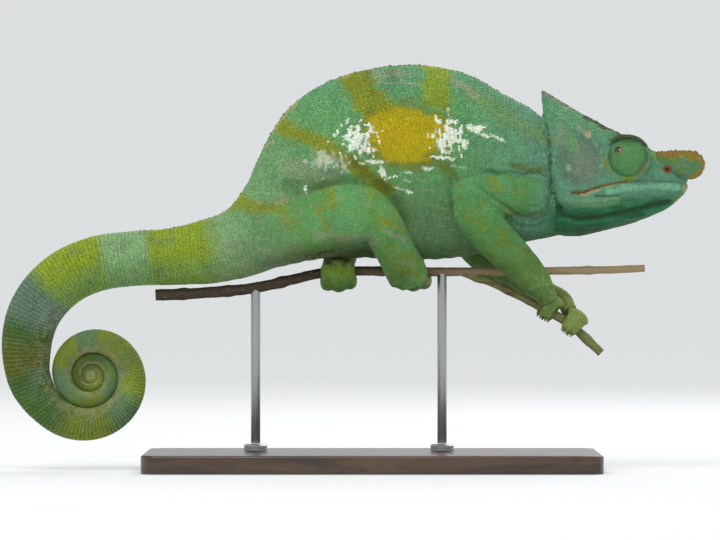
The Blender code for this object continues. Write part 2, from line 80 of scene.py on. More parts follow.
# The tail ahead of its coil: middle x, z, half depth
TAIL_RUN = [
    (-112.5, 117.2, 15.6), (-131, 116.3, 15.3), (-150, 113.8, 15.4), (-166, 107.4, 15.4),
    (-178, 97.6, 15.2), (-185.8, 86, 14.8), (-189.4, 73.8, 14.2), (-190, 61.5, 13.3),
    (-188.2, 49.4, 12), (-182.2, 38.3, 10.3),
]
TAIL_FLATNESS, TAIL_TIP_FLATNESS = 0.86, 0.95  # half width over half depth
COIL_CENTRE = (-154.6, 52.0)
COIL_RADIUS = 22.3
COIL_START, COIL_END = math.radians(232), math.radians(1983)
WINDING_GAP = 0.45
COIL_STEPS = 83
LEAST_DEPTH = 0.9  # of the innermost windings, so that they close the coil's middle

# The head, from the casque's tip to the snout: top x, z, chin x, z, then half widths down the side
HEAD = [
    (93, 210, 101.5, 129, 0.9, 5, 11.5, 18, 15), (99.5, 206, 107, 128.6, 3, 7.5, 15, 21.5, 17),
    (108, 200.5, 115, 129.6, 6, 10.5, 17.5, 23, 17.5),
    (118.5, 194.2, 124.5, 131.6, 9, 13.5, 18.5, 22.8, 16.5),
    (128.5, 188.8, 134, 133.8, 11.5, 15.2, 18.2, 21.5, 15.2),
    (138.5, 184, 143, 136.4, 12.8, 15.5, 18, 19.8, 14),
    (147.4, 179.6, 151, 139.4, 11.8, 14.4, 17, 18, 12.8),
    (155, 175.6, 158, 142.4, 9.6, 12.4, 14.8, 15.6, 11.2),
    (162, 172.4, 163.6, 145.4, 7.8, 10, 12.4, 12.8, 9.4),
    (168, 168.8, 168, 148.6, 5.4, 7.6, 9.2, 9.2, 6.8),
    (171.6, 165, 171.2, 150.8, 3.6, 5.4, 6.6, 6.4, 4.6),
    (173.6, 161.4, 173, 153.2, 1.6, 2.6, 3.2, 3.2, 2.2),
]
SIDE_HEIGHTS = (0.0, 0.22, 0.45, 0.66, 0.86)
CHIN_BREADTH = 0.62
CROWN_DIP = 1.3
CHIN_SPARE = 1.0  # by which the chin's ridge starts lower, as evening out the skin takes that much off it
LIPS = [
    (182, 157.6), (169, 158), (155, 158.6), (145, 158.7), (137.5, 158.2), (126.3, 156), (120.7, 154),
    (115, 151.9), (108, 152.2),
]
EYE = (139.7, 15.6, 171.6)
EYE_RADIUS = 11.0

# A blade of horn at each side of the snout: top x, z, foot x, z, distance from the middle, half thickness
HORN = [
    (148.8, 175.2, 150.8, 168, 7.5, 2.2), (155.8, 174.8, 157.3, 164.8, 8.2, 3),
    (163.8, 175.4, 164.8, 162.8, 9, 3.4), (171.8, 175.6, 171.8, 160.6, 9.9, 3.4),
    (177.8, 174.6, 176.8, 160, 10.6, 3), (181, 171.6, 180, 162.4, 11, 2.3),
    (182.4, 168.6, 182, 166, 11.2, 1.3),
]

# Limbs: x, distance from the middle, z, half depth in the animal's side view, half thickness
NEAR_THIGH = [
    (-66, 6, 126, 14.5, 8), (-56, 11, 128.6, 15.8, 10), (-39, 18, 133.4, 15.8, 10.5),
    (-20, 24, 138.6, 16.6, 10.5), (-6, 28, 141.2, 15.6, 10), (3.5, 29.5, 143.2, 11, 8.4),
    (9.5, 29.5, 144.4, 5, 4),
]
NEAR_SHIN = [
    (-2, 28.6, 144.5, 4, 4), (1.5, 28.8, 140.5, 10.5, 8.6), (5.5, 27, 134, 11.5, 9.4),
    (10, 22.5, 125.5, 11.3, 8.8), (14.5, 17, 117, 11, 7.8), (18.3, 12.5, 110, 11.4, 6),
    (20.8, 10, 104.2, 10.6, 4.6), (21.6, 9, 100, 6.4, 3.2),
]
FAR_THIGH = [
    (-66, 6, 125, 14.5, 8), (-56, 11, 127, 15.8, 10), (-40, 19, 131.5, 15.8, 10.5),
    (-24, 26, 138.5, 15, 10.5), (-12, 31, 145.5, 12.8, 10), (-4, 33.5, 149.6, 9, 8),
    (-0.5, 34.4, 151.2, 4.5, 4),
]
FAR_SHIN = [
    (-6.5, 33, 149, 4, 4), (-7.5, 32.6, 146, 9, 8), (-10, 30, 139.5, 10.6, 9),
    (-14, 24, 128.5, 9.8, 8.2), (-17.2, 17, 118, 9, 7), (-18.8, 12, 110.5, 9, 5.6),
    (-19, 9.6, 104, 8, 4.4), (-19, 8.8, 100, 4.6, 3),
]
NEAR_ARM = [
    (97.5, 4, 152.5, 7.5, 7), (90, 11, 151.4, 10.6, 9.4), (77, 19, 150.2, 11.4, 9.4),
    (65, 24.5, 150.8, 10.9, 9), (54.5, 27, 151, 9.8, 8), (47, 27.5, 150.6, 7, 6),
    (43.6, 27.5, 150.4, 3.4, 3),
]
NEAR_FOREARM = [
    (51.5, 27, 150, 4.5, 4), (52.4, 27.2, 146.6, 9.2, 8), (56.2, 27, 139.8, 11.2, 9),
    (64.6, 24, 129.6, 11.6, 9), (78.6, 18, 115.6, 10.4, 8), (89.4, 11.6, 104.4, 8.6, 7),
    (94.6, 6.6, 97.2, 6.8, 5.6), (96.8, 4.6, 92.8, 5.6, 4.6),
]
FAR_ARM = [
    (97.5, 4, 149, 8.5, 7), (90, 11, 147.4, 11.6, 9.4), (77, 19, 145, 11.4, 9.4),
    (65, 25, 141.6, 10.6, 9), (55.5, 28, 138.4, 9.4, 8), (49.4, 29, 136.4, 6.2, 6),
    (46.4, 29.2, 135.4, 3, 3),
]
FAR_FOREARM = [
    (52.5, 28.6, 137.5, 4, 4), (52.6, 28.8, 133.5, 8.2, 8), (56, 28.4, 126, 10.6, 9),
    (66.5, 26, 115, 10, 8.6), (83, 21.5, 102.6, 8.2, 7.4), (98, 18.8, 97, 6, 5.4),
    (105.6, 13, 94, 4.9, 4.8), (109, 6, 87, 4.6, 4.2),
]

# The feet: the twig held, where along it, and each bundle's toe count, first and last angle round the
# twig and thickness. An angle is 0 on the leg's own side, 90 on top and -90 underneath.
HIND_TOE, FORE_TOE, PRESSED_TOE = 4.5, 2.45, 2.8
TOE_BREADTH, TOE_PITCH = 1.12, 1.36
TOE_TAPER = 0.26  # share of its thickness that a toe loses towards its claw
OUTER_TOE, OUTER_TOE_SHORT = 0.86, 9.0  # its thickness over its neighbour's, degrees it is shorter
TWIG_CLEARANCE = 0.35
FEET = [
    ("hind", -1, MAIN_TWIG, 22.4, ((3, -20, -182, HIND_TOE), (2, 25, 100, PRESSED_TOE))),
    ("hind", 1, MAIN_TWIG, -18.6, ((3, -20, -214, HIND_TOE), (2, 25, 85, PRESSED_TOE))),
    ("fore", -1, FORK_TWIG, 96.4, ((2, 60, -55, FORE_TOE), (3, 120, 235, FORE_TOE))),
    ("fore", 1, FORK_TWIG, 109.6, ((2, 60, -60, FORE_TOE), (3, 120, 228, FORE_TOE))),
]
CLAW_LENGTH, CLAW_RADIUS = 3.4, 0.95


# ---------------------------------------------------------------- curves and rings

def between(rows, at):
    """Rows at fractional places in a table, on a smooth curve through its rows."""
    rows = np.asarray(rows, float)
    last = len(rows) - 1
    at = np.clip(np.atleast_1d(np.asarray(at, float)), 0, last)
    low = np.minimum(at.astype(int), last - 1)
    t = (at - low).reshape(-1, *([1] * (rows.ndim - 1)))
    padded = np.concatenate([2 * rows[:1] - rows[1:2], rows, 2 * rows[-1:] - rows[-2:-1]])
    a, b, c, d = (padded[low + k] for k in range(4))
    bend, twist = 2 * a - 5 * b + 4 * c - d, 3 * b - a - 3 * c + d
    return 0.5 * (2 * b + (c - a) * t + bend * t ** 2 + twist * t ** 3)


def sampled(rows, count, start=0.0, end=None):
    """count rows, evenly from start to end of a table."""
    return between(rows, np.linspace(start, len(rows) - 1 if end is None else end, count))


def side_points(x, z):
    """Points in the animal's middle plane."""
    return np.stack([x, np.zeros_like(x), z], axis=1)


def turn_angles(count):
    """Angles of a whole turn in even steps."""
    return np.linspace(0, 2 * math.pi, count, endpoint=False)


def unit(vectors):
    return vectors / np.maximum(np.linalg.norm(vectors, axis=-1, keepdims=True), 1e-9)


def ovals(rows, count, sunk=COAT, out=0.0):
    """Rings for rows of top x, z, foot x, z, half width and keel, sunk by the coat's depth."""
    rows = np.asarray(rows, float)
    sunk = np.broadcast_to(sunk, len(rows))[:, None]
    top, foot = side_points(rows[:, 0], rows[:, 1]), side_points(rows[:, 2], rows[:, 3])
    middle, reach = (top + foot) / 2, (top - foot) / 2
    reach = reach * (1 - sunk / np.linalg.norm(reach, axis=1, keepdims=True))
    cos, sin = np.cos(turn_angles(count)), np.sin(turn_angles(count))
    keel = rows[:, 5:6]
    sharp = keel + (1 - keel) * np.minimum(1, (1 - cos) * 0.8)
    across = np.sign(sin) * np.abs(sin) ** sharp * (rows[:, 4:5] - sunk)
    rings = middle[:, None] + reach[:, None] * cos[None, :, None]
    rings[:, :, 1] += across + np.broadcast_to(out, len(rows))[:, None]
    return rings


def coil_row(angle):
    """The coil's body row at an angle: dorsal x, z, ventral x, z, half width, keel."""
    middle = COIL_RADIUS * 2 ** (1 - angle / (2 * math.pi))
    depth = max((middle - WINDING_GAP) / 3 + WINDING_GAP / 6, LEAST_DEPTH)
    way = (math.cos(angle), math.sin(angle))
    outer = [c + (middle + depth) * w for c, w in zip(COIL_CENTRE, way)]
    inner = [c + (middle - depth) * w for c, w in zip(COIL_CENTRE, way)]
    return (*outer, *inner, depth * TAIL_TIP_FLATNESS, TUBE_KEEL)


def body_rows():
    """The body from neck to tail tip as rows like the trunk's."""
    rows = [*TRUNK]
    root = [(TRUNK[-1][k] + TRUNK[-1][k + 2]) / 2 for k in (0, 1)]
    for i, (x, z, depth) in enumerate(TAIL_RUN):
        ahead = TAIL_RUN[i - 1] if i else root
        beyond = TAIL_RUN[min(i + 1, len(TAIL_RUN) - 1)]
        run = Vector((ahead[0] - beyond[0], ahead[1] - beyond[1])).normalized()
        back = Vector((-run.y, run.x)) * depth
        rows.append((x + back.x, z + back.y, x - back.x, z - back.y, depth * TAIL_FLATNESS, TUBE_KEEL))
    for i in range(COIL_STEPS + 1):
        rows.append(coil_row(COIL_START + (COIL_END - COIL_START) * i / COIL_STEPS))
    return np.array(rows, float)


def head_rings(rows, sunk=COAT):
    """Rings of the head, with the hollow crown between its two crests."""
    rings = []
    for row in rows:
        top, chin = np.array((row[0], 0, row[1])), np.array((row[2], 0, row[3]))
        depth = np.linalg.norm(chin - top)
        down = (chin - top) / depth
        depth += CHIN_SPARE * smooth_share((row[2] - 104) / 12) * smooth_share((172 - row[2]) / 8)
        side = [*zip(SIDE_HEIGHTS, row[4:]), (0.96, row[8] * CHIN_BREADTH), (1.0, 0.0)]
        dip = min(CROWN_DIP, row[4] * 0.2)
        crown = [(sunk + dip * (1 - s * s * 0.9), row[4] * s) for s in (0.0, 0.25, 0.5, 0.75)]
        flank = between(side, np.arange(0, 6.01, 0.25))
        flank = [(h * depth - sunk * (2 * h - 1), max(half - sunk, 0.0)) for h, half in flank]
        right = np.array(crown + flank)
        half_ring = top + down * right[:, :1] - np.array((0, 1, 0)) * right[:, 1:]
        other = half_ring[-2:0:-1] * (1, -1, 1)
        rings.append(np.vstack([half_ring, other]))
    return np.array(rings)


def sweep(rows, hint, count, sunk=COAT):
    """Rings along a path of rows x, y, z, half depth, half thickness. Thickness lies along hint."""
    rows = np.asarray(rows, float)
    path = rows[:, :3]
    run = unit(np.gradient(path, axis=0))
    side = unit(hint - run * (run @ hint)[:, None])
    up = np.cross(side, run)
    cos, sin = np.cos(turn_angles(count)), np.sin(turn_angles(count))
    depth, thick = np.maximum(rows[:, 3:4] - sunk, 0.12), np.maximum(rows[:, 4:5] - sunk, 0.12)
    return (path[:, None] + up[:, None] * (depth * cos)[:, :, None]
            + side[:, None] * (thick * sin)[:, :, None])


def limb(rows, out, count=44, around=44):
    """A length of limb on the side that out gives, -1 for right and 1 for left."""
    rows = sampled(rows, count)
    rows[:, 1] *= out
    return sweep(rows, np.array((0, 1, 0)), around)


def twig_frame(rows, x):
    """The twig's middle, radius and run where it passes that x."""
    fine = sampled(rows, 400)
    nearest = int(np.clip(np.argmin(abs(fine[:, 0] - x)), 1, 398))
    here, ahead = fine[nearest], fine[nearest + 1]
    run = unit(np.array((ahead[0] - here[0], 0, ahead[1] - here[1])))
    return np.array((here[0], 0, here[1])), here[2], run


def toe(twig, x, out, first, last, thick):
    """A toe curled round the twig, as its rings, and its claw's rings."""
    middle, radius, run = twig_frame(twig, x)
    up, across = np.array((-run[2], 0, run[0])), np.array((0, out, 0))
    turn = math.copysign(1, last - first)
    rows = []
    for share in np.linspace(0, 1, 18):
        angle = math.radians(first + (last - first) * share)
        half = thick * (1 - TOE_TAPER * share ** 2) * (1 + 0.05 * math.sin(share * 9))
        place = middle + (across * math.cos(angle) + up * math.sin(angle)) * (radius + TWIG_CLEARANCE + half)
        rows.append((*place, half, half * TOE_BREADTH))
    angle = math.radians(last)
    ahead = (up * math.cos(angle) - across * math.sin(angle)) * turn
    outward = across * math.cos(angle) + up * math.sin(angle)
    root, half = np.array(rows[-1][:3]), rows[-1][3]
    for reach, size in ((0.35, 0.94), (0.62, 0.78), (0.82, 0.5), (0.92, 0.15)):
        rows.append((*(root + ahead * half * reach), half * size, half * size * TOE_BREADTH))
    claw = []
    for share in np.linspace(0, 1, 7):
        size = CLAW_RADIUS * (1 - share) ** 0.7 + 0.08
        place = root + ahead * (half * 0.5 + CLAW_LENGTH * share) + outward * (0.8 - 1.9 * share ** 2)
        claw.append((*place, size, size * 0.7))
    return sweep(rows, run, 20), sweep(claw, run, 10, 0.0)


def feet():
    """Every toe as (kind, side, rings) and every claw's rings."""
    toes, claws = [], []
    for kind, out, twig, foot_x, bundles in FEET:
        for count, first, last, thick in bundles:
            run = twig_frame(twig, foot_x)[2]
            for i in range(count):
                aside = i - (count - 1) / 2
                short = abs(aside) * OUTER_TOE_SHORT * math.copysign(1, last - first)
                size = thick * (1 - abs(aside) * (1 - OUTER_TOE))
                place = foot_x + aside * thick * TOE_PITCH * run[0]
                flesh, claw = toe(twig, place, out, first, last - short, size)
                toes.append((kind, out, flesh))
                claws.append(claw)
    return toes, claws


# ---------------------------------------------------------------- the skin

VOXEL = 0.75
SKIN_FACES = 155000  # triangles of the skin ahead of the tail
TAIL_JOIN = 15.3  # the body row from which the tail keeps its own rings, so that its windings stay apart
TAIL_AROUND = 40
COIL_PLACE = 22.5  # where the windings begin
THIN_DEPTH = 10.5  # the tail's depth below which scales shrink
PITCH = {"trunk": 1.18, "head": 1.0, "face": 0.9, "limb": 1.13, "foot": 0.85}  # from scale to scale
RIM_RADIUS, RIM_OUT, RIM_LEAN, RIM_THICK = 11.3, 17.0, 1.2, 1.25
EYE_PLACE = 5.4
PALM = (6.5, 6.0, 3.4)  # half length along the twig, half breadth and half thickness
KINDS = ("trunk", "tail", "head", "thigh", "shin", "arm", "forearm", "hind_toe", "fore_toe")
TRUNK_KIND, TAIL_KIND, HEAD_KIND, THIGH, SHIN, ARM, FOREARM, HIND_FOOT, FORE_FOOT = range(len(KINDS))

# Folds and ridges in side view: line x, z, half width, height (below 0 it sinks), kinds of part it crosses
TEMPLE_CREST = [(99, 198), (111.4, 188), (118.3, 183.4), (124.8, 175.4), (126.2, 167), (122, 158.5)]
CHEEK_FOLD = [(95.5, 186), (97.2, 176), (97.6, 165), (98, 154), (100.5, 146), (104, 138)]
JAW_FOLD = [(102.4, 144.3), (104.6, 140.1), (111, 138), (123.5, 139), (137.5, 142.2), (151.6, 145),
            (162, 147.6)]
JAW_CREASE = [(122, 150.6), (128, 150), (135, 150.6)]
RELIEF = [
    (TEMPLE_CREST, 1.7, 0.8, (HEAD_KIND,)),
    (CHEEK_FOLD, 2.2, -1.0, (HEAD_KIND, TRUNK_KIND)),
    ([(103, 184), (102.8, 170), (103.4, 156), (107, 147)], 3.4, 0.9, (HEAD_KIND,)),
    (JAW_FOLD, 1.5, -1.3, (HEAD_KIND,)),
    ([(104, 148.5), (112, 146.4), (124, 146.6), (137, 148.2), (150, 150.4)], 1.8, 0.9, (HEAD_KIND,)),
    ([(104, 135.6), (118, 134.4), (134, 137.6), (148, 141)], 1.8, 0.7, (HEAD_KIND,)),
    (JAW_CREASE, 0.8, -0.7, (HEAD_KIND,)),
    ([(112, 143), (122, 143.2), (134, 145.2)], 0.7, -0.4, (HEAD_KIND,)),
    ([(110, 131.8), (126, 133.4), (140, 136.6)], 0.8, -0.5, (HEAD_KIND,)),
    ([(62, 163.5), (70, 162.4), (76, 163.4), (83, 162), (90, 163.4), (95, 161)], 1.1, -1.7,
     (TRUNK_KIND, ARM)),
    ([(68, 167), (77, 166), (84, 167.6), (93, 168.5)], 1.0, -0.7, (TRUNK_KIND,)),
    ([(70, 170), (82, 171), (94, 175)], 1.0, -0.4, (TRUNK_KIND,)),
    ([(56, 158), (62, 152), (70, 146), (80, 139), (88, 137.5), (95, 141), (98, 150)], 1.0, -1.6,
     (TRUNK_KIND, ARM, FOREARM)),
    ([(80, 134), (90, 133.4), (99, 138)], 0.9, -0.8, (TRUNK_KIND,)),
    ([(84, 145), (91, 144.5), (95.5, 150)], 0.9, -0.7, (TRUNK_KIND, ARM)),
]
LIP_GROOVE, LIP_SWELL = 0.9, 0.4
TEMPLE_HOLLOW = ((113.3, 168.5), (10.5, 14.5), 1.0)
NOSTRIL = (161.6, 165.1)
RIB_PITCH, RIB_HEIGHT = 8.5, 0.22


def linked(name, mesh):
    """A new object with that mesh, in the scene."""
    made = bpy.data.objects.new(name, mesh)
    bpy.context.scene.collection.objects.link(made)
    return made


def settled(holder, name):
    """The object with its modifiers worked in, as a plain mesh; the object goes."""
    graph = bpy.context.evaluated_depsgraph_get()
    mesh = bpy.data.meshes.new_from_object(holder.evaluated_get(graph))
    mesh.name = name
    bpy.data.objects.remove(holder, do_unlink=True)
    return mesh


def loft_mesh(name, lofts):
    """One mesh of closed lofts, with each end fanned to its middle. Points are in metres."""
    points, faces, base = [], [], 0
    for rings in lofts:
        rows, around = rings.shape[:2]
        grid = base + np.arange(rows * around).reshape(rows, around)
        beside = np.roll(grid, -1, axis=1)
        quads = np.stack([grid[:-1], beside[:-1], beside[1:], grid[1:]], axis=-1)
        faces += quads.reshape(-1, 4).tolist()
        ends = base + rows * around
        for k, row in enumerate((0, rows - 1)):
            order = (beside[row], grid[row]) if row == 0 else (grid[row], beside[row])
            faces += [(int(a), int(b), ends + k) for a, b in zip(*order)]
        points += [rings.reshape(-1, 3), rings[[0, -1]].mean(axis=1)]
        base += rows * around + 2
    mesh = bpy.data.meshes.new(name)
    mesh.from_pydata(np.vstack(points) * MM, [], faces)
    return outward(mesh)


def outward(mesh):
    """The mesh with its faces turned outwards and shaded smooth."""
    work = bmesh.new()
    work.from_mesh(mesh)
    bmesh.ops.recalc_face_normals(work, faces=work.faces)
    work.to_mesh(mesh)
    work.free()
    mesh.shade_smooth()
    return mesh


def points_of(mesh):
    """The mesh's points in millimetres."""
    flat = np.empty(len(mesh.vertices) * 3, np.float32)
    mesh.vertices.foreach_get("co", flat)
    return flat.reshape(-1, 3).astype(float) / MM


def normals_of(mesh):
    flat = np.empty(len(mesh.vertices) * 3, np.float32)
    mesh.vertex_normals.foreach_get("vector", flat)
    return flat.reshape(-1, 3).astype(float)


def set_points(mesh, points):
    mesh.vertices.foreach_set("co", (points * MM).astype(np.float32).ravel())
    mesh.update()


def edges_of(mesh):
    flat = np.empty(len(mesh.edges) * 2, np.int32)
    mesh.edges.foreach_get("vertices", flat)
    return flat.reshape(-1, 2)


def relaxed(values, edges, rounds):
    """Each vertex's values drawn half way to the mean of its neighbours', over and over."""
    ends = np.concatenate([edges, edges[:, ::-1]])
    count = np.bincount(ends[:, 0], minlength=len(values))[:, None]
    for _ in range(rounds):
        total = [np.bincount(ends[:, 0], values[ends[:, 1], k], len(values)) for k in range(values.shape[1])]
        values = values + 0.5 * (np.stack(total, axis=1) / np.maximum(count, 1) - values)
    return values


def filled(points, edges, normals, rounds, share):
    """The points with the hollows between joined forms filled, and their ridges hardly touched."""
    gain = np.einsum("ij,ij->i", relaxed(points, edges, rounds) - points, normals)
    gain = np.where(gain > 0, gain * 0.92, gain * 1.2 / rounds) * share
    return relaxed(points + normals * gain[:, None], edges, 1)


def wander(places, size, seed):
    """Smooth noise from -1 to 1 at each place, with blotches about size across."""
    table = np.random.default_rng(seed).uniform(-1, 1, 4096)
    scaled = places / size
    cell = np.floor(scaled).astype(np.int64)
    part = scaled - cell
    part = part * part * (3 - 2 * part)
    total = np.zeros(len(places))
    for corner in itertools.product((0, 1), repeat=3):
        x, y, z = (cell + corner).T
        slot = (x * 73856093 ^ y * 19349663 ^ z * 83492791) % 4096
        total += table[slot] * np.prod(np.where(corner, part, 1 - part), axis=1)
    return total


def line_distance(points, line):
    """How far points lie from a line in side view."""
    flat, line = points[:, [0, 2]], np.asarray(line, float)
    nearest = np.full(len(flat), 1e9)
    for a, b in zip(line, line[1:]):
        run = b - a
        along = np.clip((flat - a) @ run / (run @ run), 0, 1)
        nearest = np.minimum(nearest, np.linalg.norm(flat - a - along[:, None] * run, axis=1))
    return nearest


def bell(distance, width):
    return np.exp(-(distance / width) ** 2)


def oval_share(points, centre, radii, turn=0.0):
    """Distance from an oval's centre in side view: 1 on its rim."""
    x, z = points[:, 0] - centre[0], points[:, 2] - centre[1]
    cos, sin = math.cos(math.radians(turn)), math.sin(math.radians(turn))
    return np.hypot((x * cos + z * sin) / radii[0], (z * cos - x * sin) / radii[1])


def eye_distance(points):
    return np.linalg.norm(np.column_stack([points[:, 0], abs(points[:, 1]), points[:, 2]]) - EYE, axis=1)


def relief(points, kind):
    """How far each point of the skin stands out or sinks, from its folds, lids, lips and ribs."""
    height = np.zeros(len(points))
    for line, width, rise, crossed in RELIEF:
        height += rise * bell(line_distance(points, line), width) * np.isin(kind, crossed)
    head = kind == HEAD_KIND
    lips = line_distance(points, LIPS)
    height += head * (LIP_SWELL * bell(lips - 2.0, 1.1) - LIP_GROOVE * bell(lips, 0.75))
    centre, radii, depth = TEMPLE_HOLLOW
    height -= head * depth * np.clip(1.4 - oval_share(points, centre, radii), 0, 0.6) / 0.6
    pit = line_distance(points, [NOSTRIL, NOSTRIL + np.array((0.5, 0.2))])
    height -= head * 1.3 * bell(pit, 0.9)
    height += head * 0.45 * bell(pit - 2.0, 0.7)
    flank = np.clip((192 - points[:, 2]) / 30, 0, 1) * np.clip((60 - abs(points[:, 0] - 5)) / 20, 0, 1)
    phase = (points[:, 0] + 0.28 * (points[:, 2] - 150)) / RIB_PITCH * 2 * math.pi
    height += (kind == TRUNK_KIND) * flank * RIB_HEIGHT * np.cos(phase)
    soft = 0.16 * wander(points, 4.0, 3) + 0.22 * wander(points, 11.0, 4)
    return height + soft * ~np.isin(kind, (HIND_FOOT, FORE_FOOT))


class Form:
    """A loft of the animal: its kind of part, rings, place and scale pitch of each ring, and coat piece."""

    def __init__(self, kind, rings, places, pitch, coat):
        self.kind, self.rings, self.places, self.coat = kind, rings, np.asarray(places, float), coat
        self.pitch = np.broadcast_to(pitch, len(rings))


def search_tree(points):
    tree = KDTree(len(points))
    for i, point in enumerate(points):
        tree.insert(point, i)
    tree.balance()
    return tree


def tail_places(rows):
    """Places along the body's rows for the tail's rings, closer together where it is thinner."""
    last, places = len(rows) - 1, [TAIL_JOIN]
    while places[-1] < last:
        row, ahead = between(rows, [places[-1], places[-1] + 0.05])
        depth = math.hypot(row[0] - row[2], row[1] - row[3]) / 2
        pace = math.hypot(*(ahead[:2] + ahead[2:4] - row[:2] - row[2:4])) / 2 / 0.05
        places.append(places[-1] + max(0.4, 0.16 * depth) / max(pace, 0.5))
    places[-1] = last
    return places


def body_form(kind, rows, places, around, coat):
    """A length of trunk or tail. Its scales shrink with the thin end of the tail."""
    chosen = between(rows, places)
    depth = np.hypot(chosen[:, 0] - chosen[:, 2], chosen[:, 1] - chosen[:, 3]) / 2
    coiled = smooth_share((np.asarray(places) - COIL_PLACE) / 2)
    sunk = COAT + (COIL_COAT - COAT) * coiled
    pitch = PITCH["trunk"] * np.clip(depth / THIN_DEPTH, 0.45, 1)
    return Form(kind, ovals(chosen, around, sunk), places, pitch, coat)


def with_tip(form):
    """The tail with a rounded tip added to its last ring."""
    last, before = form.rings[-1], form.rings[-2]
    middle, step = last.mean(axis=0), (last - before).mean(axis=0)
    tip = [middle + (last - middle) * share + step * ahead
           for share, ahead in ((0.85, 1), (0.6, 1.8), (0.3, 2.3))]
    form.rings = np.concatenate([form.rings, tip])
    form.places = np.append(form.places, [form.places[-1]] * 3)
    form.pitch = np.append(form.pitch, [form.pitch[-1]] * 3)
    return form


def eye_rim(out):
    """The thick fold of skin that rings the eye and overhangs it as a brow."""
    rows = []
    for angle in np.radians(np.arange(0, 371, 6)):
        brow = smooth_share(math.sin(angle + 0.12) * 1.6 - 0.35)
        radius = RIM_RADIUS - 0.5 * brow
        place = (EYE[0] + radius * math.cos(angle), out * (RIM_OUT + 1.4 * brow - RIM_LEAN * math.sin(angle)),
                 EYE[2] + radius * math.sin(angle))
        rows.append((*place, RIM_THICK + 0.55 * brow, RIM_THICK + 1.1 * brow))
    return sweep(rows, np.array((0, 1.0, 0)), 16, 0.0)


def horn_root(out):
    """The swelling of the snout's skin from which the horn grows."""
    rows = sampled(HORN, 24, 0.0, 2.6)
    shape = np.column_stack([rows[:, :4], rows[:, 5], np.ones(len(rows))])
    thin = 0.35 + 1.6 * smooth_share((np.arange(len(rows)) - 15) / 9)
    return ovals(shape, 40, thin, (rows[:, 4] - 0.5) * out)


def palm(twig, x):
    """The hand's palm over the twig, from which its toes part."""
    middle, radius, run = twig_frame(twig, x)
    up = np.array((-run[2], 0, run[0]))
    centre = middle + up * (radius + TWIG_CLEARANCE + PALM[2])
    profile = [(-PALM[0] * math.cos(t), math.sin(t)) for t in np.linspace(0, math.pi, 14)]
    rings = turned(run, (0, 0, 0), profile, 24)
    across = rings @ np.array((0, 1.0, 0))
    upward = rings @ up
    along = rings @ run
    return (centre + along[..., None] * run + across[..., None] * PALM[1] * np.array((0, 1.0, 0))
            + upward[..., None] * PALM[2] * up)


def animal_forms():
    """Every loft of flesh, the tail's own first, and the claws."""
    rows = body_rows()
    forms = [
        with_tip(body_form(TAIL_KIND, rows, tail_places(rows), TAIL_AROUND, "tail")),
        body_form(TRUNK_KIND, rows, np.linspace(0, TAIL_JOIN + 0.6, 190), 110, "trunk"),
    ]
    head_places = np.linspace(0, len(HEAD) - 1, 80)
    forms.append(Form(HEAD_KIND, head_rings(between(HEAD, head_places)), head_places, PITCH["head"], "head"))
    limbs = ((THIGH, -1, NEAR_THIGH, "hind_legs"), (SHIN, -1, NEAR_SHIN, "hind_legs"),
             (THIGH, 1, FAR_THIGH, "hind_legs"), (SHIN, 1, FAR_SHIN, "hind_legs"),
             (ARM, -1, NEAR_ARM, "fore_legs"), (FOREARM, -1, NEAR_FOREARM, "fore_legs"),
             (ARM, 1, FAR_ARM, "fore_legs"), (FOREARM, 1, FAR_FOREARM, "fore_legs"))
    for kind, out, table, coat in limbs:
        forms.append(Form(kind, limb(table, out), np.linspace(0, 1, 44), PITCH["limb"], coat))
    for out in (-1, 1):
        rim = eye_rim(out)
        forms.append(Form(HEAD_KIND, rim, np.full(len(rim), EYE_PLACE), PITCH["face"], "head"))
        root = horn_root(out)
        forms.append(Form(HEAD_KIND, root, np.full(len(root), EYE_PLACE), PITCH["face"], "head"))
    toes, claws = feet()
    for which, out, rings in toes:
        kind = HIND_FOOT if which == "hind" else FORE_FOOT
        forms.append(Form(kind, rings, np.linspace(0, 1, len(rings)), PITCH["foot"], "feet"))
    for kind, out, twig, foot_x, _ in FEET:
        if kind == "fore":
            rings = palm(twig, foot_x)
            forms.append(Form(FORE_FOOT, rings, np.linspace(0, 1, len(rings)), PITCH["foot"], "feet"))
    return forms, claws


class Chart:
    """Tells for any point of the skin which form it belongs to, and where on that form it lies."""

    def __init__(self, forms):
        self.points = np.concatenate([form.rings.reshape(-1, 3) for form in forms])
        grids = [np.indices(form.rings.shape[:2]).reshape(2, -1) for form in forms]
        self.form = np.concatenate([np.full(g.shape[1], i) for i, g in enumerate(grids)])
        self.kind = np.array([form.kind for form in forms])[self.form]
        self.place = np.concatenate([form.places[g[0]] for form, g in zip(forms, grids)])
        self.along = np.concatenate([g[0] / (len(f.rings) - 1) for f, g in zip(forms, grids)])
        self.about = np.concatenate([g[1] / f.rings.shape[1] for f, g in zip(forms, grids)])
        self.run = np.concatenate([unit(np.gradient(form.rings, axis=0)).reshape(-1, 3) for form in forms])
        self.pitch = np.concatenate([form.pitch[g[0]] for form, g in zip(forms, grids)])
        self.tree = search_tree(self.points)
        self.body = np.flatnonzero((self.kind == TRUNK_KIND) | (self.kind == TAIL_KIND))
        self.body_tree = search_tree(self.points[self.body])

    def nearest(self, points):
        """Index of the chart's point nearest to each point."""
        return np.array([self.tree.find(point)[1] for point in points])

    def body_place(self, points, spot):
        """Where along the body's rows each point lies, for one on a limb that of the trunk beside it."""
        place = self.place[spot].copy()
        off = np.flatnonzero(~np.isin(self.kind[spot], (TRUNK_KIND, TAIL_KIND)))
        beside = [self.body_tree.find(point)[1] for point in points[off]]
        place[off] = self.place[self.body[beside]]
        return place


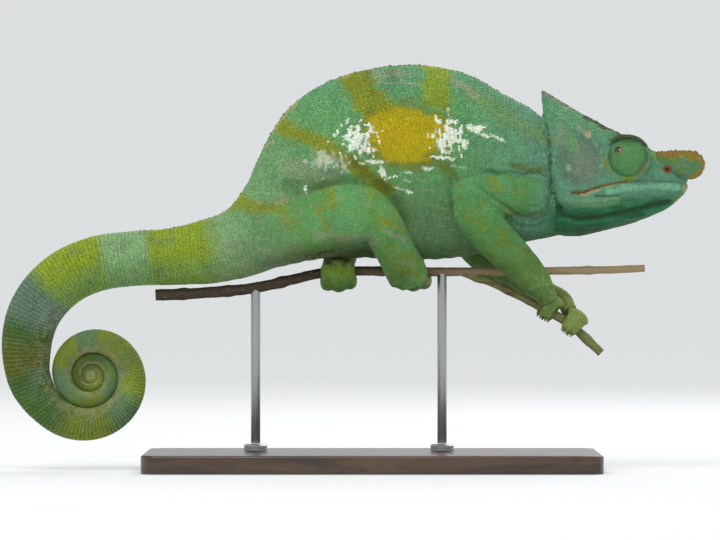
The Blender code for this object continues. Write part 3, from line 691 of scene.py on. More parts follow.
def body_skin(forms, chart):
    """Trunk, head and limbs run into one skin with its folds, without the tail."""
    holder = linked("flesh", loft_mesh("flesh", [form.rings for form in forms if form.kind != TAIL_KIND]))
    even = holder.modifiers.new("even", "REMESH")
    even.mode, even.voxel_size = "VOXEL", VOXEL * MM
    mesh = settled(holder, "skin")
    points, edges = points_of(mesh), edges_of(mesh)
    points = filled(points, edges, normals_of(mesh), 12, 1.0)
    set_points(mesh, points)
    kind = chart.kind[chart.nearest(points)]
    run_together = np.zeros(len(points))
    run_together[np.isin(kind, (THIGH, SHIN))] = 0.6
    run_together[kind == TRUNK_KIND] = np.where(points[kind == TRUNK_KIND][:, 0] < 30, 0.7, 0.35)
    run_together[np.isin(kind, (ARM, FOREARM))] = 0.3
    points = filled(points, edges, normals_of(mesh), 60, relaxed(run_together[:, None], edges, 8)[:, 0])
    set_points(mesh, points)
    height = relaxed(relief(points, kind)[:, None], edges, 4)
    set_points(mesh, points + normals_of(mesh) * height)
    holder = linked("flesh", mesh)
    thin = holder.modifiers.new("thin", "DECIMATE")
    thin.ratio = min(1.0, SKIN_FACES / (2 * len(mesh.polygons)))
    return settled(holder, "skin")


def whole_skin(forms, chart):
    """The body's skin with the tail's bridged on behind it."""
    rings = forms[0].rings
    start, ahead = rings[0].mean(axis=0), rings[1].mean(axis=0)
    back = unit(ahead - start)
    work = bmesh.new()
    work.from_mesh(body_skin(forms, chart))
    where = {"plane_co": Vector((start - back * 0.9) * MM), "plane_no": Vector(back)}
    bmesh.ops.bisect_plane(work, geom=[*work.verts, *work.edges, *work.faces], clear_outer=True, **where)
    front = [edge for edge in work.edges if edge.is_boundary]
    loops = [[work.verts.new(point * MM) for point in ring] for ring in rings]
    for one, other in zip(loops, loops[1:]):
        for i in range(len(one)):
            j = (i + 1) % len(one)
            work.faces.new((one[i], one[j], other[j], other[i]))
    work.faces.new(loops[-1])
    rear = [work.edges.get((a, b)) for a, b in zip(loops[0], loops[0][1:] + loops[0][:1])]
    bmesh.ops.bridge_loops(work, edges=front + rear)
    bmesh.ops.triangulate(work, faces=work.faces)
    bmesh.ops.recalc_face_normals(work, faces=work.faces)
    mesh = bpy.data.meshes.new("skin")
    work.to_mesh(mesh)
    work.free()
    mesh.shade_smooth()
    return mesh


# ---------------------------------------------------------------- the markings, with some painted shade, the same on skin and scales

TEAL = (0.13, 0.315, 0.19)
GREEN = (0.13, 0.345, 0.125)
LEAF = (0.12, 0.30, 0.065)
PALE_GREEN = (0.17, 0.34, 0.145)
# DEEP also serves as painted shade: in creases, under the brow and the jaw, and on the eye's turret
DEEP = (0.022, 0.07, 0.024)
MOSS = (0.06, 0.125, 0.027)
EMERALD = (0.04, 0.19, 0.085)
TURQUOISE = (0.20, 0.46, 0.28)
PALE_TEAL = (0.23, 0.39, 0.17)
OLIVE = (0.23, 0.26, 0.012)
DARK_OLIVE = (0.12, 0.125, 0.010)
YELLOW_OLIVE = (0.24, 0.33, 0.022)
OCHRE = (0.44, 0.36, 0.006)
OCHRE_RIM = (0.19, 0.175, 0.007)
BROWN = (0.17, 0.085, 0.025)
UMBER = (0.06, 0.05, 0.016)
RUST = (0.25, 0.11, 0.035)
PINK_GREY = (0.34, 0.32, 0.22)
COIL_OLIVE = (0.185, 0.24, 0.03)
COIL_GREEN = (0.14, 0.235, 0.055)
COIL_TEAL = (0.12, 0.22, 0.095)
COIL_PALE = (0.245, 0.345, 0.05)
COIL_DARK = (0.085, 0.13, 0.02)
DROP_GREEN = (0.07, 0.145, 0.03)
SLATE = (0.115, 0.19, 0.125)
FLANK_GREY = (0.125, 0.25, 0.105)
WHITE = (0.78, 0.84, 0.71)
TAN = (0.42, 0.36, 0.20)
PALE_TAN = (0.30, 0.32, 0.13)
PALE_OLIVE = (0.27, 0.33, 0.11)
FOOT_GREEN = (0.12, 0.215, 0.028)
HORN_ORANGE = (0.30, 0.19, 0.035)

# Bands of the body: where along its rows each colour is at its purest
BODY_BANDS = [
    (0, TEAL), (2, TEAL), (5, GREEN), (9, GREEN), (10.5, PALE_GREEN), (12.6, PALE_GREEN),
    (13.3, PALE_TEAL), (13.9, YELLOW_OLIVE), (15.4, YELLOW_OLIVE), (15.65, PALE_TEAL), (16.72, PALE_TEAL),
    (16.95, YELLOW_OLIVE), (18.6, YELLOW_OLIVE), (19.2, SLATE), (20.2, SLATE), (20.8, MOSS),
    (22.3, DARK_OLIVE), (23, MOSS), (23.6, DROP_GREEN), (24.8, DROP_GREEN), (25.8, COIL_OLIVE),
    (27.6, COIL_OLIVE), (28.4, COIL_TEAL), (29.4, COIL_TEAL), (30.2, COIL_PALE), (31.6, COIL_OLIVE),
    (33.4, COIL_OLIVE), (34.6, COIL_OLIVE), (35.2, COIL_TEAL), (36.2, COIL_TEAL), (36.8, COIL_OLIVE),
    (38.6, COIL_OLIVE), (39.4, COIL_TEAL), (41.2, COIL_TEAL), (42.4, COIL_GREEN), (44.4, COIL_OLIVE),
    (46, COIL_TEAL), (48.5, COIL_GREEN), (51, MOSS), (54, COIL_DARK), (58, COIL_DARK),
    (63, COIL_OLIVE), (70, COIL_DARK), (80, COIL_OLIVE), (100, PALE_TAN),
]
# Strokes on the flank in side view: colour, line x, z, half width, softness, raggedness, strength
FLANK_STROKES = [
    (OLIVE, [(-12, 224), (-9, 213), (-3.5, 204), (4, 195)], 8.8, 6, 3.5, 0.92),
    (DARK_OLIVE, [(-3, 222), (-1, 211), (2, 202)], 2, 5, 3.5, 0.4),
    (YELLOW_OLIVE, [(35, 224), (35.4, 213), (37, 206)], 7.6, 6, 3, 0.92),
    (OLIVE, [(38, 206), (41, 196), (44, 186)], 2, 7, 3.5, 0.45),
    (OLIVE, [(-58, 192), (-46, 187.5), (-32, 181), (-18, 172.5), (-3, 163), (8, 154)], 4.2, 5.5, 2.6, 0.9),
    (OLIVE, [(-60, 196), (-50, 190), (-44, 184)], 4, 6, 3, 0.6),
    (DARK_OLIVE, [(-10, 168.5), (-3, 163.5), (6, 156)], 2.4, 4, 2.4, 0.7),
    (DARK_OLIVE, [(30, 172.5), (38, 167.5), (46, 160.5)], 2.4, 4, 2.6, 0.6),
    (OLIVE, [(-70, 163), (-66, 172), (-60, 182)], 2, 5, 3, 0.5),
    (YELLOW_OLIVE, [(-81, 144), (-73, 148)], 4.2, 3.5, 2.4, 0.95),
    (YELLOW_OLIVE, [(-79, 146.5), (-72, 149.5)], 2.6, 3, 2, 0.9),
    (OLIVE, [(-73, 145), (-62, 144), (-46, 144)], 3.4, 4, 2.8, 0.8),
    (PINK_GREY, [(-62, 147), (-50, 147.4), (-42, 149)], 0.9, 2.5, 2, 0.5),
    (PALE_TEAL, [(-68, 152.2), (-58, 152.4), (-48, 151.6)], 0.9, 2.5, 1.4, 0.7),
    (PALE_TEAL, [(-84, 138.5), (-78, 138), (-73, 134)], 2, 3, 2, 0.6),
    (OLIVE, [(-89, 141), (-83, 142)], 2, 3, 2, 0.6),
    (OLIVE, [(56, 205), (70, 196), (86, 187), (96, 181)], 4, 7, 3.5, 0.3),
    (DARK_OLIVE, [(77, 167.5), (86, 164.6), (94, 165)], 1.8, 3, 2, 0.6),
    (PINK_GREY, [(2, 212.4), (24, 212)], 0.35, 1, 1.6, 0.7),
    (PINK_GREY, [(2, 217), (24, 217.4)], 2, 3, 4, 0.4),
    (DARK_OLIVE, [(10, 220), (12, 214)], 1.4, 3, 3, 0.35),
    (PINK_GREY, [(43, 213), (50, 211), (58, 206)], 1.6, 2, 3.6, 0.6),
    (PINK_GREY, [(-46, 166), (-34, 161), (-22, 162)], 4, 7, 5, 0.45),
    (PINK_GREY, [(-32, 173), (-24, 170), (-16, 168)], 2.4, 4, 4, 0.5),
    (TAN, [(-21, 214), (-14, 218)], 1, 1.5, 3, 0.7),
    (TAN, [(-58, 178), (-50, 193), (-38, 207)], 0.9, 1.5, 3.4, 0.6),
    # Painted shadow under the belly, between the hind legs
    (UMBER, [(-34, 119), (-20, 117), (2, 117)], 4, 4, 2, 0.8),
    # The next two strokes are painted shade: along the crease where thigh and knee meet the flank, and behind
    # the elbow and forearm
    (MOSS, [(-42, 152), (-24, 157), (-6, 160.5), (6, 158.5), (13, 149), (17, 138)], 1.4, 5, 2, 0.6),
    (MOSS, [(40, 160), (42, 150), (50, 138), (60, 128)], 1, 4, 1.6, 0.4),
    (MOSS, [(-46, 157.6), (-32, 156), (-16, 159)], 3, 6, 4, 0.45),
    (SLATE, [(-24, 163.4), (-16, 162)], 2.4, 4, 3.6, 0.5),
    # Painted shade in the crease between head and neck
    (DEEP, [(94.6, 199), (95.6, 191)], 0.3, 1.6, 0.6, 0.5),
    (DEEP, [(95.6, 191), (97, 180), (97.4, 165), (98, 152)], 0.7, 1.7, 0.7, 0.8),
    (PINK_GREY, [(75, 139.6), (84, 137.8), (93, 141)], 0.6, 1.4, 1.4, 0.7),
    (PINK_GREY, [(78, 143), (90, 143.6)], 0.4, 1, 1.2, 0.5),
    (PALE_TEAL, [(22, 150), (40, 143), (52, 140)], 0.5, 1.2, 1.6, 0.5),
    (PALE_TEAL, [(24, 144), (38, 138)], 0.4, 1, 1.6, 0.4),
    (PALE_TEAL, [(16, 161.5), (30, 158)], 0.5, 1.2, 1.8, 0.5),
]
# Ovals on the flank in side view: colour, centre x, z, radii, turn, softness, raggedness, strength
FLANK_SPOTS = [
    (OCHRE_RIM, (17, 183), (24.5, 18.6), -6, 0.5, 0.3, 0.8),
    (OCHRE, (17.2, 184), (20.4, 14.8), -6, 0.4, 0.26, 1),
    (OCHRE, (16.6, 175.6), (12, 6.6), 0, 0.4, 0.25, 0.9),
    (OCHRE, (30, 184), (10, 10), 0, 0.4, 0.25, 0.8),
    (TAN, (83.5, 149), (1.6, 2.4), 0, 0.5, 0.5, 0.8),
    (TAN, (-54, 180), (0.9, 0.9), 0, 0.5, 0.3, 0.8),
]
# Flecks of white in side view: centre x, z, radii, turn, strength
WHITE_FLECKS = [
    ((-8.5, 182), (7.6, 6.8), 0, 1), ((-3, 175.5), (4.6, 2.4), -30, 0.9),
    ((-24.5, 169.6), (8.6, 4), 0, 0.42), ((-15, 166.6), (2.4, 2.8), 0, 0.6),
    ((42.5, 183), (6, 7.4), -12, 1), ((36.5, 191), (1.6, 2.6), 25, 1),
    ((38.8, 170.8), (5.6, 1.1), -6, 1), ((42, 175), (3.4, 1), 10, 0.7),
    ((50.5, 178.6), (3, 2.4), 0, 0.7), ((58, 186.8), (5.6, 1.9), -8, 1),
    ((61, 183.4), (4.4, 1.2), -28, 0.9), ((69, 182), (5, 0.9), -22, 0.8),
    ((47, 166.4), (5, 0.6), -10, 0.35), ((29.6, 165.4), (3.2, 1.2), -12, 0.95),
    ((17.6, 153.6), (5.6, 0.8), -20, 0.9), ((1.5, 169), (4.8, 1.3), 6, 0.85),
    ((5.4, 163.4), (1.4, 2.8), 20, 0.9), ((11, 160.6), (5, 0.7), 16, 0.9),
    ((19, 163), (2.4, 0.6), 0, 0.7), ((19.5, 158.4), (3, 0.5), -10, 0.4),
    ((-36, 154.4), (1.3, 1.6), 0, 0.9), ((-27, 160), (1.6, 0.6), 0, 0.5),
    ((-41.2, 169), (0.7, 0.7), 0, 0.7),
]
SPOT_CORE = ((15.0, 184.0), (9, 7))
CASQUE_EDGE = [(93, 209.6), (108, 200.2), (118.5, 194), (128.5, 188.4), (137, 184.4)]
HEAD_STROKES = [
    (PINK_GREY, CASQUE_EDGE, 2, 3.2, 2.4, 0.5),
    (UMBER, CASQUE_EDGE, 0.3, 1.4, 2.4, 0.35),
    (DEEP, [(117, 194.6), (124, 190.6), (137, 184.2)], 1.2, 2, 2, 0.6),
    (UMBER, [(131.2, 180.4), (134.8, 182.4), (139.8, 183.2), (145.8, 182), (149.8, 178.6)],
     1.2, 1.6, 0.8, 0.9),
    (BROWN, [(133.8, 183.4), (139.8, 184.4), (146.8, 183), (150.8, 179)], 0.4, 0.9, 0.6, 0.8),
    # Painted shadow under the brow, over the eye
    (DEEP, [(129.4, 178), (133.8, 180.6), (139.8, 181.6), (145.8, 180.6), (149.2, 177.6)],
     0.7, 0.8, 0.4, 0.8),
    (BROWN, [(109, 152), (115, 151.9), (120.7, 154), (126.3, 156), (132, 157.4), (139, 158.6)],
     0.9, 0.8, 0.8, 0.95),
    (HORN_ORANGE, [(127, 156.6), (134, 158)], 0.6, 0.6, 0.8, 0.7),
    (TAN, [(114, 150.8), (121, 152.8), (127, 154.8), (136, 156.9)], 0.5, 0.7, 1, 0.65),
    (TURQUOISE, [(129, 152.8), (138, 155), (150, 155.6), (167, 155.6)], 1.6, 1.6, 1, 0.9),
    (BROWN, [(142, 158.7), (168, 158)], 0.35, 0.6, 0.7, 0.5),
    (OLIVE, [(127.4, 172), (128.6, 165.4), (132.2, 161.2), (138.8, 159.4), (145.4, 160.8), (150.2, 165.4)],
     0.7, 1.3, 0.9, 0.7),
    (TAN, [(143.8, 161.8), (148.2, 164.8), (150.4, 168.6)], 0.35, 0.6, 0.5, 0.75),
    (YELLOW_OLIVE, [(149.4, 180), (153, 176), (154.6, 170)], 1.1, 1.4, 1.4, 0.55),
    (TAN, [(113.6, 187.8), (118.4, 184), (122, 179.5), (124.6, 175)], 0.7, 1, 2, 0.5),
    # Painted shade in the jaw fold, the cheek fold and the jaw crease
    (DEEP, JAW_FOLD, 1.5, 1.6, 0.9, 0.9),
    (DEEP, [(98, 180), (97.4, 165), (98, 154), (100.5, 146), (103, 140)], 1.4, 2.2, 0.6, 0.85),
    (DEEP, JAW_CREASE, 0.6, 0.9, 0.6, 0.7),
    (PALE_TEAL, [(106, 149), (112, 146.4), (124, 146.8), (133, 148.4)], 2, 2, 1.6, 0.4),
    (TAN, [(98.4, 184), (98.2, 178)], 0.5, 0.9, 1, 0.5),
    (BROWN, [(165, 171.5), (170.5, 167.5), (173, 161)], 1.6, 1.4, 1.2, 0.3),
    (OLIVE, [(173.5, 157), (172.5, 151.5), (167, 147.6)], 1, 2.4, 1.6, 0.7),
    (BROWN, [(174, 158), (173.4, 152)], 0.8, 1.2, 1, 0.5),
]
HEAD_SPOTS = [
    (SLATE, (113.2, 171), (12.6, 15), 12, 0.5, 0.4, 0.85),
    (PINK_GREY, (103.5, 184), (3.5, 8), 0, 0.8, 0.9, 0.3),
    (GREEN, (109, 180), (3.4, 5.4), 10, 0.8, 0.6, 0.6),
    (PINK_GREY, (115.4, 170), (6, 9), 10, 0.8, 0.9, 0.2),
    (PALE_TEAL, (106.9, 165.8), (1.4, 1.9), 0, 0.6, 0.4, 0.9),
    (PALE_TEAL, (125.2, 166.6), (1.2, 1.2), 0, 0.6, 0.4, 0.7),
    (TAN, (118.6, 184.2), (1.7, 1.9), 30, 0.6, 0.6, 0.75),
    (YELLOW_OLIVE, (139.4, 159.8), (4, 1.6), 0, 0.5, 0.8, 0.5),
    (RUST, NOSTRIL, (2.8, 2.3), 0, 0.35, 0.2, 1),
    # Painted shade in the nostril's pit
    (UMBER, NOSTRIL, (1.2, 1), 0, 0.35, 0.1, 1),
    (TAN, (172.4, 154.6), (2, 3), 0, 0.5, 0.6, 0.7),
]
# Olive bars across the limbs: kind, share along the limb, half width
LIMB_BARS = [
    (THIGH, 0.3, 0.05), (THIGH, 0.52, 0.045), (THIGH, 0.8, 0.05), (SHIN, 0.2, 0.05), (SHIN, 0.46, 0.06),
    (SHIN, 0.7, 0.06), (ARM, 0.36, 0.04), (ARM, 0.56, 0.05), (ARM, 0.86, 0.05), (FOREARM, 0.2, 0.05),
    (FOREARM, 0.42, 0.05), (FOREARM, 0.62, 0.05), (FOREARM, 0.82, 0.05),
]
# Strokes on the limbs in side view, as on the flank
LIMB_STROKES = [
    # Painted highlight along the thigh's upper edge
    (PALE_TEAL, [(-24, 154), (-12, 158.8), (0, 160)], 1.4, 2.5, 1.8, 0.5),
    (PINK_GREY, [(-30, 129), (-14, 127), (2, 125)], 2.4, 4, 3.2, 0.45),
    (OLIVE, [(-23, 153), (-21, 145)], 2.6, 3, 2.4, 0.6),
    (OLIVE, [(-30, 143), (-27, 136)], 1.6, 3, 2.4, 0.5),
    (OLIVE, [(-50, 142), (-46, 132)], 2.2, 3, 2.4, 0.5),
    (OLIVE, [(5, 137.4), (18, 131.4)], 2, 3, 2.4, 0.7),
    (PINK_GREY, [(6, 132), (17, 126.4)], 1.8, 2.6, 2.4, 0.6),
    (OLIVE, [(9, 122.4), (21, 117)], 1.9, 3, 2.4, 0.6),
    (OLIVE, [(13, 112.6), (25, 107.6)], 1.6, 3, 2.2, 0.45),
    (OLIVE, [(66, 160), (69.6, 154)], 1.7, 3, 2, 0.6),
    (OLIVE, [(56, 137.6), (61, 132)], 1.5, 3, 2, 0.5),
    (OLIVE, [(69, 131.6), (74, 126)], 1.4, 3, 2, 0.5),
    (BROWN, [(77, 124), (84, 120.4)], 0.8, 2.4, 2, 0.4),
]


def mixed(colours, other, share):
    """The colours drawn towards another by a share that may differ from point to point."""
    share = np.broadcast_to(np.clip(share, 0, 1), len(colours))
    return colours + (np.asarray(other) - colours) * share[:, None]


def smooth_share(value):
    value = np.clip(value, 0, 1)
    return value * value * (3 - 2 * value)


def band_colours(place):
    at = [band[0] for band in BODY_BANDS]
    return np.stack([np.interp(place, at, [band[1][k] for band in BODY_BANDS]) for k in range(3)], axis=1)


def with_strokes(colours, points, strokes, spots, where):
    """The colours with a set of strokes and ovals laid over those points."""
    flecks = points * (0.6, 1.0, 1.3)
    grain = wander(flecks, 2.6, 11) + 0.6 * wander(flecks, 1.2, 12)
    drift = wander(points, 7.0, 13)
    for colour, line, half, soft, ragged, strength in strokes:
        inside = half - line_distance(points, line) + ragged * (0.6 * drift + 0.5 * grain)
        colours = mixed(colours, colour, where * strength * smooth_share(inside / soft + 0.5))
    for colour, centre, radii, turn, soft, ragged, strength in spots:
        inside = 1 - oval_share(points, centre, radii, turn) + ragged * (0.25 * drift + 0.55 * grain)
        colours = mixed(colours, colour, where * strength * smooth_share(inside / soft + 0.5))
    return colours


def with_white(colours, points, where):
    """The colours with ragged white flecks, broken into short upright streaks."""
    upright = wander(points * (1.0, 1.0, 0.28), 0.8, 14) + 0.6 * wander(points, 2.2, 15)
    level = wander(points * (0.35, 1.0, 1.0), 0.9, 16) + 0.6 * wander(points, 2.2, 15)
    for centre, radii, turn, strength in WHITE_FLECKS:
        flat = radii[0] > 2.2 * radii[1]
        outer = oval_share(points, centre, radii, turn)
        ragged = (0.8 * level if flat else 1.2 * upright) * np.minimum(0.4 + 0.6 * outer, 1.0)
        colours = mixed(colours, WHITE, where * strength * smooth_share((1 - outer + ragged) / 0.6 + 0.3))
    return colours


def limb_colours(points, kind, along, root_colours):
    """Bright green limbs with olive bars and blotches, a painted highlight on the thigh and painted shade
    under the far hind foot, run into the trunk's colours at their roots.
    """
    drift, grain = wander(points, 9.0, 21), wander(points, 3.0, 22)
    colours = mixed(np.tile(LEAF, (len(points), 1)), GREEN, 0.6 + 0.5 * drift)
    for bar_kind, share, half in LIMB_BARS:
        across = half * 1.3 - abs(along + 0.06 * drift - share) + 0.04 * grain
        patchy = smooth_share(0.35 + 1.2 * wander(points, 4.0, 23))
        colours = mixed(colours, OLIVE, (kind == bar_kind) * 0.5 * patchy * smooth_share(across / half + 0.2))
    colours = mixed(colours, EMERALD, (kind == ARM) * 0.25 + (kind == FOREARM) * 0.1)
    colours = with_strokes(colours, points, LIMB_STROKES, [], points[:, 1] < 0)
    colours = mixed(colours, TAN, 0.2 * smooth_share(wander(points, 3.4, 24) * 2.2 - 0.9))
    fore = np.isin(kind, (ARM, FOREARM)) * smooth_share((150 - points[:, 2]) / 40)
    colours = mixed(colours, MOSS, 0.35 * fore)
    shin = smooth_share((points[:, 0] - 13) / 6) * (kind == SHIN) * (points[:, 1] < 0)
    colours = mixed(colours, PINK_GREY, 0.5 * shin * smooth_share(wander(points, 1.8, 25) * 2.4 - 0.2))
    foot = np.isin(kind, (HIND_FOOT, FORE_FOOT))
    lower = smooth_share((108 - points[:, 2]) / 12) * (kind == SHIN) + foot
    colours = mixed(colours, MOSS, 0.35 * lower + 0.2 * lower * grain)
    low = smooth_share((132 - points[:, 2]) / 24)
    colours = mixed(colours, FOOT_GREEN, 0.55 * low * smooth_share(0.6 + 0.5 * drift))
    far = smooth_share((points[:, 0] - 88) / 10) * (points[:, 1] > 2) + foot * (points[:, 0] > 103)
    colours = mixed(colours, PALE_OLIVE, 0.75 * np.minimum(far, 1) * smooth_share((108 - points[:, 2]) / 8))
    wrist = (kind == FOREARM) * smooth_share((113 - points[:, 2]) / 12)
    wrist = wrist * smooth_share(0.5 + wander(points, 1.6, 28))
    colours = mixed(colours, PALE_OLIVE, 0.5 * wrist)
    behind = (kind == HIND_FOOT) * (points[:, 0] < 0)
    colours = mixed(colours, YELLOW_OLIVE, 0.45 * behind * smooth_share((points[:, 2] - 104) / 5))
    # Painted shade on the low side of the far hind foot
    colours = mixed(colours, MOSS, 0.5 * behind * smooth_share((102 - points[:, 2]) / 5))
    curled = behind * smooth_share((points[:, 2] - 109) / 5)
    colours = mixed(colours, PALE_OLIVE, 0.35 * (kind == FORE_FOOT) * (points[:, 0] < 103))
    colours = mixed(colours, PALE_OLIVE, 0.9 * curled)
    colours = mixed(colours, YELLOW_OLIVE, 0.3 * foot * smooth_share(0.6 + 1.4 * wander(points, 4.0, 26)))
    club = foot * smooth_share((points[:, 0] - 12) / 10) * smooth_share((44 - points[:, 0]) / 6)
    colours = mixed(colours, PINK_GREY, 0.6 * club * smooth_share((106 - points[:, 2]) / 3)
                    * smooth_share((points[:, 2] - 98) / 4) * smooth_share(0.6 + wander(points, 2.4, 27)))
    blend = np.where(kind == THIGH, smooth_share((0.46 - along + 0.05 * drift) / 0.36), 0)
    blend = np.where(kind == ARM, smooth_share((0.34 - along + 0.04 * drift) / 0.3), blend)
    return mixed(colours, root_colours, blend)


def markings(points, facing, chart, spot):
    """The animal's colour at each point of the skin, with painted shade in its creases, under the jaw and
    belly and on downward faces; spot is the chart's nearest point.
    """
    kind, along, about = chart.kind[spot], chart.along[spot], chart.about[spot]
    place = chart.body_place(points, spot)
    drift, grain = wander(points, 10.0, 31), wander(points, 2.4, 32)
    colours = band_colours(place + 0.12 * drift + 0.05 * grain)
    trunk, head = (kind == TRUNK_KIND) | (kind == TAIL_KIND), kind == HEAD_KIND
    flank = smooth_share((13.9 - place) / 2.4) * ~head
    upper = smooth_share((points[:, 2] - 196) / 20) * flank
    colours = mixed(colours, TEAL, 0.5 * upper)
    below = smooth_share((166 - points[:, 2]) / 26) * smooth_share((66 - abs(points[:, 0] - 14)) / 30)
    colours = mixed(colours, FLANK_GREY, 0.9 * below * flank * trunk)
    # Painted shade: a little darker low on the belly
    belly = smooth_share((127 - points[:, 2]) / 14) * smooth_share((points[:, 0] + 46) / 24)
    colours = mixed(colours, MOSS, 0.14 * flank * trunk * belly)
    streaks = wander(points * (0.22, 1, 1.2) + points[:, [2, 1, 0]] * (0.1, 0, 0.25), 1.3, 33)
    colours = mixed(colours, PINK_GREY, flank * 0.5 * below * smooth_share(streaks * 2.6 - 0.9))
    rows = wander(points * (1.0, 1, 0.16), 0.9, 35)
    colours = mixed(colours, np.multiply(FLANK_GREY, 0.6), flank * 0.3 * smooth_share(rows * 2))
    colours = with_strokes(colours, points, FLANK_STROKES, FLANK_SPOTS, flank)
    core = smooth_share(1.2 - oval_share(points, *SPOT_CORE) + 0.3 * grain)
    colours = mixed(colours, np.multiply(OCHRE, (1.12, 0.96, 1)), 0.7 * core * flank)
    colours = with_white(colours, points, flank)
    spine = smooth_share((0.011 - np.minimum(about, 1 - about)) / 0.006) * trunk
    colours = mixed(colours, TAN, 0.55 * spine * smooth_share(0.5 + wander(points, 4.0, 36)))
    colours = mixed(colours, BROWN, 0.45 * spine * smooth_share(wander(points, 2.2, 37) * 2))
    tail = smooth_share((place - 12.2) / 1.5) * trunk
    under = smooth_share((0.5 - abs(about - 0.5) - 0.24) / 0.14)
    mottle = smooth_share(wander(points, 1.5, 38) * 1.2 + 0.55)
    colours = mixed(colours, PINK_GREY, 0.4 * tail * under * mottle)
    flat = smooth_share((0.5 - abs(about - 0.5) - 0.2) / 0.14) * smooth_share((19.4 - place) / 0.8)
    colours = mixed(colours, LEAF, 0.5 * tail * flat)
    wound = smooth_share((place - 23) / 4) * trunk
    inner = smooth_share((0.5 - abs(about - 0.5) - 0.3) / 0.08)
    colours = mixed(colours, PALE_TAN, 0.8 * wound * inner * smooth_share(0.7 + wander(points, 3.0, 42)))
    colours = mixed(colours, SLATE, 0.3 * tail * smooth_share(wander(points, 5.0, 39) * 2 - 0.3))
    root = smooth_share((130 - points[:, 2]) / 12) * smooth_share((-8 - points[:, 0]) / 20)
    speckle = smooth_share(wander(points, 1.5, 40) * 1.6 + 0.5)
    colours = mixed(colours, PINK_GREY, 0.55 * root * flank * speckle)
    pale = smooth_share((place - 9.6) / 1.4) * smooth_share((14.4 - place) / 1.2) * trunk
    fine = smooth_share(wander(points, 1.1, 44) * 2.2 - 0.2)
    colours = mixed(colours, PINK_GREY, 0.4 * pale * fine * smooth_share((136 - points[:, 2]) / 14))
    limbs = ~(trunk | head)
    colours[limbs] = limb_colours(points, kind, along, colours)[limbs]
    crown = smooth_share((points[:, 2] - 176) / 14)
    skull = mixed(np.tile(TEAL, (len(points), 1)), np.multiply(TEAL, (0.8, 0.9, 0.9)), 0.5 + 0.5 * drift)
    skull = mixed(skull, GREEN, 0.25 * crown)
    throat = smooth_share((150 - points[:, 2] + 0.1 * (points[:, 0] - 110)) / 9)
    skull = mixed(skull, np.multiply(EMERALD, (0.75, 0.95, 0.9)), throat)
    slanted = points * (0.2, 0.3, 1) + points[:, [2, 1, 0]] * (0.12, 0, 0)
    stripes = smooth_share(wander(slanted, 1.7, 34) * 1.8 + 0.2)
    skull = mixed(skull, DEEP, 0.6 * throat * stripes)
    # Painted shade under the jaw
    skull = mixed(skull, DEEP, 0.6 * smooth_share((136.5 - points[:, 2] + 0.12 * (points[:, 0] - 110)) / 5))
    skull = with_strokes(skull, points, HEAD_STROKES, HEAD_SPOTS, np.ones(len(points)))
    colours[head] = skull[head]
    nape = flank * trunk * smooth_share((points[:, 0] - 88) / 12) * smooth_share((150 - points[:, 2]) / 14)
    colours = mixed(colours, EMERALD, 0.7 * nape)
    # Painted shade on surfaces that face downwards
    colours = mixed(colours, np.multiply(MOSS, 0.6), 0.5 * smooth_share((-facing[:, 2] - 0.35) / 0.6) * flank)
    return np.clip(colours * (1 + 0.08 * grain + 0.07 * drift)[:, None], 0.004, 0.93)


def painted(mesh, colours):
    """Keeps a colour for each vertex as the attribute tint."""
    made = mesh.color_attributes.new("tint", "FLOAT_COLOR", "POINT")
    opaque = np.column_stack([colours, np.ones(len(colours))])
    made.data.foreach_set("color", opaque.astype(np.float32).ravel())
    return mesh


# ---------------------------------------------------------------- the scales

SCALE_SIDES = 5
COAT_LIMIT = 12000  # scales of sixteen triangles each, so that a piece stays under 200,000
PATCH = 0.0015  # half the breadth of a scale's patch on the unwrap
ROW_PITCH, FILL_GAP, CROWD_GAP = 0.88, 0.86, 0.72  # shares of the pitch
SCALE_BREADTH, SCALE_RISE, STRAY = 0.64, 0.28, 0.09  # half width over pitch, height over that, loose placing
SPARE_BREADTH = 0.9  # of a scale that fills a gap between rows
RIDGE_GAIN = 1.35


def laid_rows(form):
    """Points over a form in rows as scales lie, each row set off from the last by half a scale.

    With each point come how wide the rows stand apart there, over their mean, and -1 or 1 by turns of row.
    """
    rings, places = form.rings, np.arange(len(form.rings))
    pace = np.linalg.norm(np.diff(rings, axis=0), axis=2)
    length = np.concatenate([[0], np.cumsum(pace.mean(axis=1))])
    apart = pace / np.maximum(pace.mean(axis=1, keepdims=True), 1e-6)
    apart = np.concatenate([apart, apart[:, :1]], axis=1)
    closed_rings = np.concatenate([rings, rings[:, :1]], axis=1)
    girth = np.linalg.norm(np.diff(closed_rings, axis=1), axis=2).sum(axis=1)
    laid, at, number, held = [], form.pitch[0] * 0.4, 0, None
    while at < length[-1]:
        row = np.interp(at, length, places)
        low = min(int(row), len(rings) - 2)
        ring = closed_rings[low] + (closed_rings[low + 1] - closed_rings[low]) * (row - low)
        pitch = np.interp(row, places, form.pitch)
        fitting = max(5, round(np.interp(row, places, girth) / pitch))
        held = fitting if held is None or abs(fitting - held) > 0.07 * held else held
        steps = np.concatenate([[0], np.cumsum(np.linalg.norm(np.diff(ring, axis=0), axis=1))])
        wanted = (np.arange(held) + 0.5 * (number % 2)) / held * steps[-1]
        columns = [*(ring[:, k] for k in range(3)), apart[low]]
        columns.append(np.full(len(steps), number % 2 * 2 - 1))
        laid.append(np.stack([np.interp(wanted, steps, column) for column in columns], axis=1))
        at, number = at + pitch * ROW_PITCH, number + 1
    return np.concatenate(laid)


